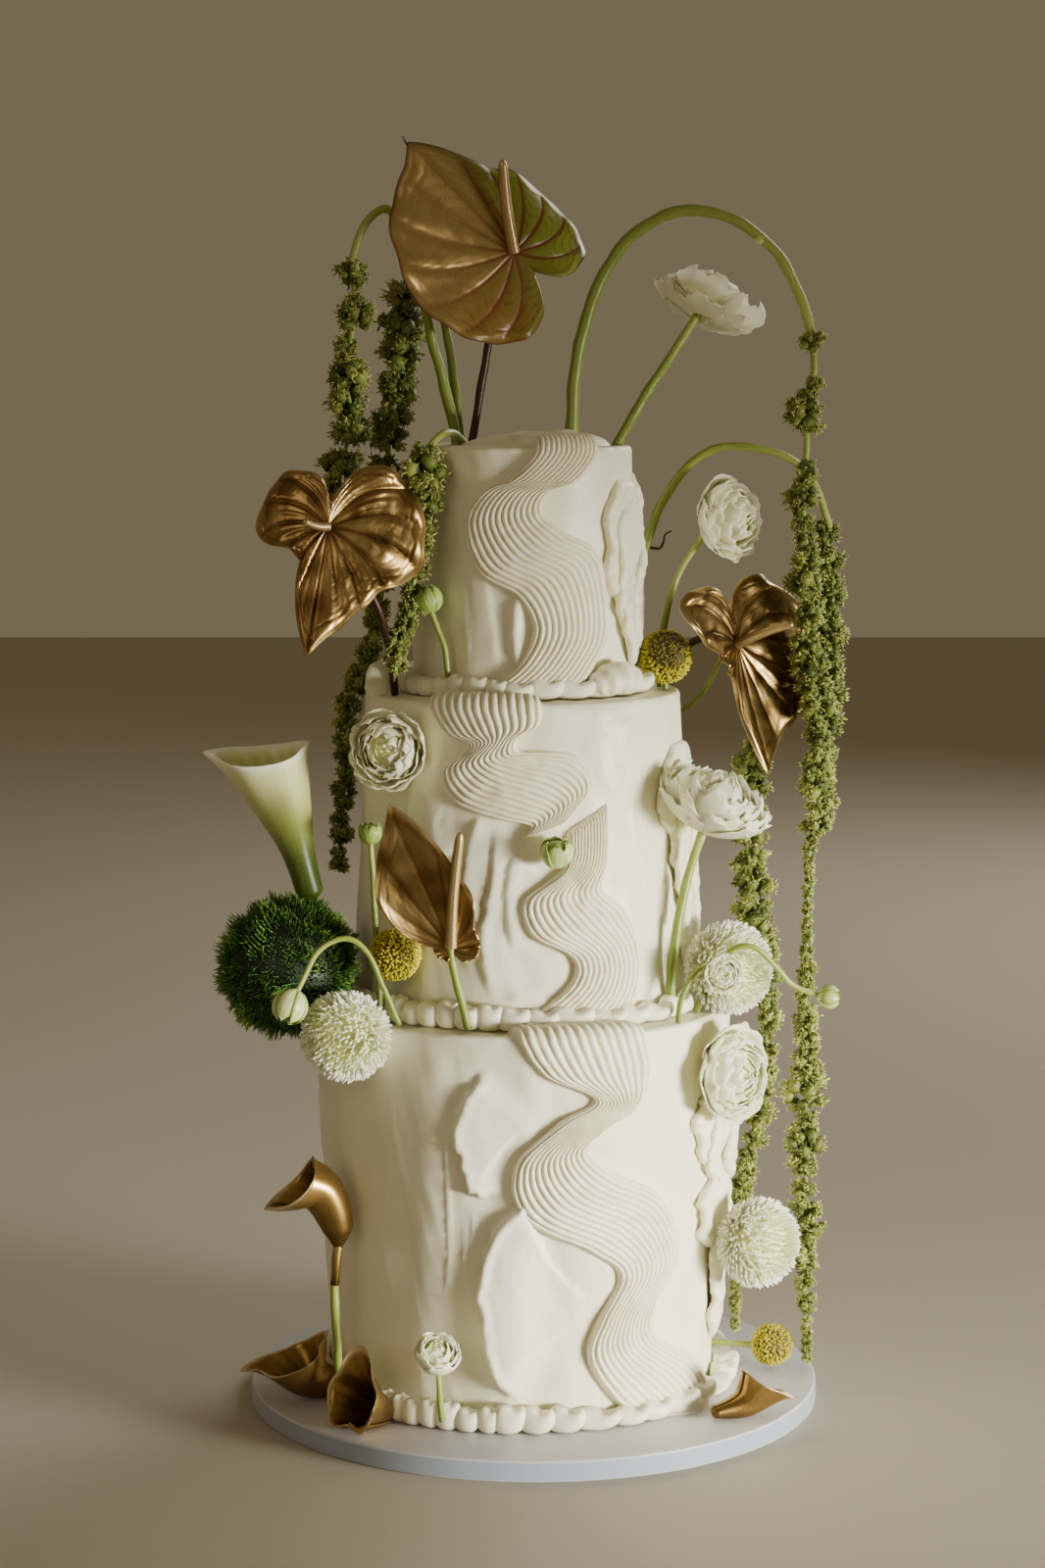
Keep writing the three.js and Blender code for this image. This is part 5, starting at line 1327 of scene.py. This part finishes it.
# Trailing amaranth
# Long hanging tassels: thousands of tiny pointed florets in ragged tufts, knotted round a thin green stem
# that rises from the icing, arches over and hangs of its own weight. A row is a place and the radius there.
AMARANTH = {
    "amaranth_right_arch": {
        "waist": 0.3, "thick": 4.2,
        "root": [(20, 0, 592), (23, 0, 606), (25, 0, 641), (32, 0, 673), (44, 0, 703), (60, 0, 723),
                 (83, 0, 736), (107, 0, 737), (128, 0, 729), (149, 0, 710), (164, 0, 682), (169, -1, 662)],
        "strands": [[
            (169, -1, 662, 9), (171, 0, 642, 4), (166, 0, 616, 13), (167, 0, 596, 4), (165, 0, 562, 13),
            (167, 0, 535, 5), (167, 0, 515, 14), (168, 0, 485, 13), (174, 0, 455, 13), (177, 0, 425, 12),
            (174, 0, 393, 10), (175, 0, 363, 8), (171, 0, 338, 3), (170, 0, 262, 5), (170, 0, 233, 9),
            (171, 0, 195, 11), (171, 0, 155, 11), (172, 0, 112, 10), (172, 0, 72, 7), (173, 0, 20, 2.5),
        ]],
    },
    "amaranth_right_low": {
        "waist": 0.25, "thick": 3.2,
        "root": [(60, 20, 448), (63, 20, 470), (65, 22, 505), (70, 25, 535), (81, 27, 562), (96, 27, 583),
                 (116, 27, 594), (140, 27, 594), (161, 26, 586), (175, 26, 570), (184, 26, 545)],
        "strands": [
            [(184, 26, 545, 13), (182, 27, 528, 9), (186, 27, 500, 9), (184, 27, 474, 10), (186, 28, 446, 9),
             (184, 28, 421, 9), (183, 28, 397, 8), (184, 28, 370, 6), (184, 28, 352, 3)],
            [(184, 28, 506, 4), (176, 42, 492, 6), (164, 55, 470, 9), (150, 60, 430, 8), (140, 60, 390, 11),
             (137, 60, 345, 15), (141, 60, 308, 14), (149, 60, 262, 8), (151, 60, 221, 7), (146, 60, 165, 10),
             (134, 60, 108, 7), (131, 60, 20, 2.5)],
        ],
    },
    "amaranth_left_arch": {
        "waist": 0.35, "thick": 3.4,
        "root": [(-47, 5, 590), (-48, 5, 600), (-54, 4, 629), (-63, 0, 664), (-69, -6, 700), (-77, -10, 726),
                 (-89, -15, 738), (-101, -17, 730), (-107, -18, 716), (-110, -19, 704)],
        "strands": [[
            (-110, -19, 704, 12), (-108, -20, 690, 4), (-109, -20, 672, 15), (-112, -20, 655, 6),
            (-116, -20, 641, 13), (-112, -20, 624, 13), (-111, -20, 605, 13), (-118, -20, 583, 15),
            (-116, -20, 561, 13), (-115, -20, 543, 11), (-115, -20, 528, 5),
        ]],
    },
    "amaranth_left_long": {
        "waist": 0.2, "thick": 3.0,
        "root": [(-43, 16, 590), (-45, 16, 600), (-50, 17, 641), (-56, 18, 676), (-63, 20, 698),
                 (-72, 20, 705), (-76, 20, 690)],
        "strands": [[
            (-76, 20, 690, 11), (-81, 20, 669, 13), (-82, 20, 648, 15), (-87, 20, 626, 13),
            (-90, 20, 603, 13), (-90, 20, 580, 11), (-91, 20, 556, 10), (-93, 20, 532, 10),
            (-94, 20, 508, 9), (-98, 21, 483, 8), (-106, 22, 459, 8), (-113, 22, 438, 8),
            (-117, 22, 416, 8), (-119, 22, 385, 7), (-121, 22, 354, 7), (-123, 20, 330, 5),
        ]],
    },
    "amaranth_left_edge": {
        "waist": 0.2, "thick": 3.0,
        "root": [(-40, -16, 591), (-43, -20, 598), (-49, -32, 604), (-56, -46, 603), (-64, -56, 594)],
        "strands": [[
            (-64, -56, 594, 10), (-66, -59, 578, 12), (-67, -58, 562, 11), (-70, -56, 543, 9),
            (-71, -56, 524, 8), (-74, -57, 505, 8), (-79, -58, 486, 7), (-83, -58, 468, 7),
            (-84, -58, 455, 4),
        ]],
    },
}
KNOT_APART = 1.5  # distance between two knots, as a share of the tassel's radius
BARE_RADIUS = 5.2  # where the tassel is thinner than this near its top, only the stem shows
TUFTS_A_KNOT = 13
SPIKES_A_TUFT = 12
SPIKE_LONG, SPIKE_WIDE = 2.15, 0.58
LUMP_LEVELS = [-0.95, -0.5, 0.1, 0.6, 0.95]
LUMP_SIDES = 6
THREAD_SIDES = 9


def strand_shape(rows, waist):
    """A tassel's middle line and its radius, drawn in between two thick places."""
    rows = np.array(rows, float)
    place = np.linspace(0, len(rows) - 1, 40 * len(rows))
    path = spline(rows[:, :3], place / (len(rows) - 1))
    radius = np.interp(place, np.arange(len(rows)), rows[:, 3])
    return path, radius * (1 - waist * np.sin(math.pi * place) ** 2)


def grains(centres, ways, long, wide):
    """Eight-sided grains pointing along the given ways."""
    first = unit(np.cross(ways, (0.36, 0.48, 0.8)))
    second = np.cross(ways, first)
    points = np.stack([
        centres - long[:, None] * ways, centres + wide[:, None] * first, centres + wide[:, None] * second,
        centres - wide[:, None] * first, centres - wide[:, None] * second, centres + long[:, None] * ways,
    ], axis=1)
    corners = np.array([
        [0, 2, 1], [0, 3, 2], [0, 4, 3], [0, 1, 4], [5, 1, 2], [5, 2, 3], [5, 3, 4], [5, 4, 1],
    ])
    faces = np.arange(len(centres))[:, None, None] * 6 + corners
    return points, [faces.reshape(-1, 3)]


def tassel(name, rows, waist, material, nodes, seed):
    draw = np.random.default_rng(seed)
    path, radius = strand_shape(rows, waist)
    run = np.concatenate([[0], np.cumsum(np.linalg.norm(np.diff(path, axis=0), axis=1))])
    knots = [0.3 * radius[0]]
    while knots[-1] < run[-1] - 2:
        here = max(3.0, np.interp(knots[-1], run, radius))
        knots.append(knots[-1] + KNOT_APART * here * draw.uniform(0.85, 1.15))
    at = np.searchsorted(run, knots[:-1]).clip(1, len(path) - 2)
    at = at[(radius[at] > BARE_RADIUS) | (run[at] > 0.35 * run[-1])]
    thick = 1.16 * radius[at] * draw.uniform(0.85, 1.15, len(at))
    knot = path[at] + draw.normal(size=(len(at), 3)) * (0.12 * thick)[:, None] * [1, 1, 0.4]
    owner = np.repeat(np.arange(len(at)), TUFTS_A_KNOT)
    number = np.tile(np.arange(TUFTS_A_KNOT) + 0.5, len(at))
    polar = np.arccos(1 - 2 * number / TUFTS_A_KNOT)
    turn = number * GOLDEN_ANGLE + 2.1 * owner
    tuft_way = ways_out(polar, turn) * [1, 1, 0.8]
    tuft_way = tuft_way + 0.16 * draw.normal(size=tuft_way.shape)
    tuft_radius = 0.4 * thick[owner] * draw.uniform(0.75, 1.2, len(owner))
    tuft = knot[owner] + tuft_way * (0.62 * thick[owner])[:, None]

    # The tight middle of each tuft is a small lumpy ball
    round_way = np.linspace(0, math.tau, LUMP_SIDES, endpoint=False)[None]
    ball_way = ways_out(np.arccos(LUMP_LEVELS)[:, None], round_way)
    lumps = tuft_radius[:, None, None] * draw.uniform(0.6, 0.95, (len(tuft), len(LUMP_LEVELS), LUMP_SIDES))
    balls = tuft[:, None, None] + lumps[..., None] * ball_way
    middle = path[at][owner]
    depth = np.linalg.norm(balls - middle[:, None, None], axis=-1) / thick[owner][:, None, None]
    shade = draw.normal(size=len(owner)) * 0.07
    faces = ring_faces(len(LUMP_LEVELS), LUMP_SIDES, len(tuft))
    # Painted shade: the lumps darken towards the stem; the per-tuft shade term is random tone.
    tint = np.clip(0.05 + 0.42 * depth + shade[:, None, None], 0, 1)
    add_piece(f"{name}_tufts", balls, faces, material, (), tint)

    parent = np.repeat(np.arange(len(owner)), SPIKES_A_TUFT)
    way = unit(draw.normal(size=(len(parent), 3)) + 0.9 * unit(tuft_way)[parent])
    centres = tuft[parent] + way * (tuft_radius[parent] * draw.uniform(0.8, 1.1, len(parent)))[:, None]
    size = draw.uniform(0.75, 1.3, len(parent)) * np.clip(tuft_radius[parent] / 4, 0.55, 1.1)
    points, faces = grains(centres, unit(way + 0.3 * draw.normal(size=way.shape)), SPIKE_LONG * size,
                           SPIKE_WIDE * size)
    outward = np.linalg.norm(centres - middle[parent], axis=1) / thick[owner][parent]
    # Painted light and shade: florets further out and facing up are lighter, and each grain is darker at its
    # foot and lighter at its tip.
    tint = 0.16 + 0.5 * outward + 0.08 * way[:, 2] + draw.normal(size=len(parent)) * 0.1 + shade[parent]
    tint = tint[:, None] + np.array([-0.16, 0, 0, 0, 0, 0.2])
    add_piece(name, points, faces, material, nodes, np.clip(tint, 0, 1))
    middle_stem = path[::6]
    core = tubes(middle_stem[None], np.linspace(2.3, 0.7, len(middle_stem))[None], THREAD_SIDES)
    tint = np.full(core.shape[:3], 0.55)
    add_piece(f"{name}_thread", core, ring_faces(core.shape[1], THREAD_SIDES), fresh_stem, (), tint)


# Amaranth florets: dull granular green; the yellow-green of the lit tips and the dark olive of the depths are
# painted light and shade.
amaranth_floret = surface("amaranth floret", ["23280a", "5a6420", "949c46", "d0d488"], 0.6, 1.5, 0.05)
for seed, (flower_name, flower) in enumerate(AMARANTH.items()):
    for number, strand_rows in enumerate(flower["strands"]):
        strand_name = flower_name if number == 0 else f"{flower_name}_branch"
        strand_nodes = [flower_name] if number == 0 else ()
        strand_seed = 160 + seed + 9 * number
        waist = flower["waist"]
        tassel(strand_name, strand_rows, waist, amaranth_floret, strand_nodes, strand_seed)
    stem(f"{flower_name}_stem", flower["root"], flower["thick"], flower["thick"] * 0.72, fresh_stem)

# The lower arch keeps a dry curl where a leaf was pulled off, and the tall one a pale scar
TENDRIL = [(70.4, 25, 532.6), (77.8, 25, 532), (80.2, 25, 535.6), (81.4, 25, 540.6), (85.7, 25, 543)]
stem("amaranth_tendril", TENDRIL, 1.0, 0.45, bronzed_stem)
SCAR_AT = (136.8, -3.2, 720.3)
SCAR_RADIUS = [2.6, 2.7, 2.3, 1.2, 0.5]
SCAR_SIDES = 18
scar_path = np.array(SCAR_AT) + np.linspace(0, 1.1, len(SCAR_RADIUS))[:, None] * (0, -1, 0)
scar = tubes(scar_path[None], np.array([SCAR_RADIUS]), SCAR_SIDES)
scar_faces = ring_faces(len(SCAR_RADIUS), SCAR_SIDES)
add_piece("amaranth_leaf_scar", scar, scar_faces, fresh_stem, (), np.ones(scar.shape[:3]))

# Studio
# A plain pale floor in a dim room. A low soft light from the right has a narrow beam, so that it fades
# towards the top of the cake. A weak one fills in from the left front, and one from behind draws the edges.
bpy.ops.object.select_all(action="DESELECT")
bpy.ops.mesh.primitive_plane_add(size=12, location=(0, 0, 0))
floor = bpy.context.object
floor.name = "floor"
floor.data.materials.append(surface("pale floor", ["bdb5a6", "c6bfb1"], 0.8, 4, 0.1))

SOFT_LIGHTS = [
    {"name": "window", "place": (1.9, -1.15, 0.12), "at": (0.0, 0.0, 0.03), "size": (1.0, 0.5), "watts": 11,
     "colour": "fdfdec", "beam": 34},
    {"name": "fill", "place": (-1.6, -2.6, 1.2), "at": (0, 0, 0.4), "size": (1.6, 1.6), "watts": 9,
     "colour": "ffecd6", "beam": 180},
    {"name": "rim", "place": (1.5, 2.0, 1.7), "at": (0, 0, 0.45), "size": (1.2, 1.2), "watts": 34,
     "colour": "fdfaee", "beam": 180},
]
for soft_light in SOFT_LIGHTS:
    light_data = bpy.data.lights.new(soft_light["name"], "AREA")
    light_data.shape = "RECTANGLE"
    light_data.size, light_data.size_y = soft_light["size"]
    light_data.energy = soft_light["watts"]
    light_data.spread = math.radians(soft_light["beam"])
    light_data.color = linear(soft_light["colour"])[:3]
    light = bpy.data.objects.new(soft_light["name"], light_data)
    bpy.context.scene.collection.objects.link(light)
    light.location = soft_light["place"]
    aim = Vector(soft_light["at"]) - Vector(soft_light["place"])
    light.rotation_euler = aim.to_track_quat("-Z", "Y").to_euler()

world = bpy.data.worlds.new("dim room")
world.use_nodes = True
world.node_tree.nodes["Background"].inputs["Color"].default_value = linear("9d8e70")
world.node_tree.nodes["Background"].inputs["Strength"].default_value = 0.54
bpy.context.scene.world = world
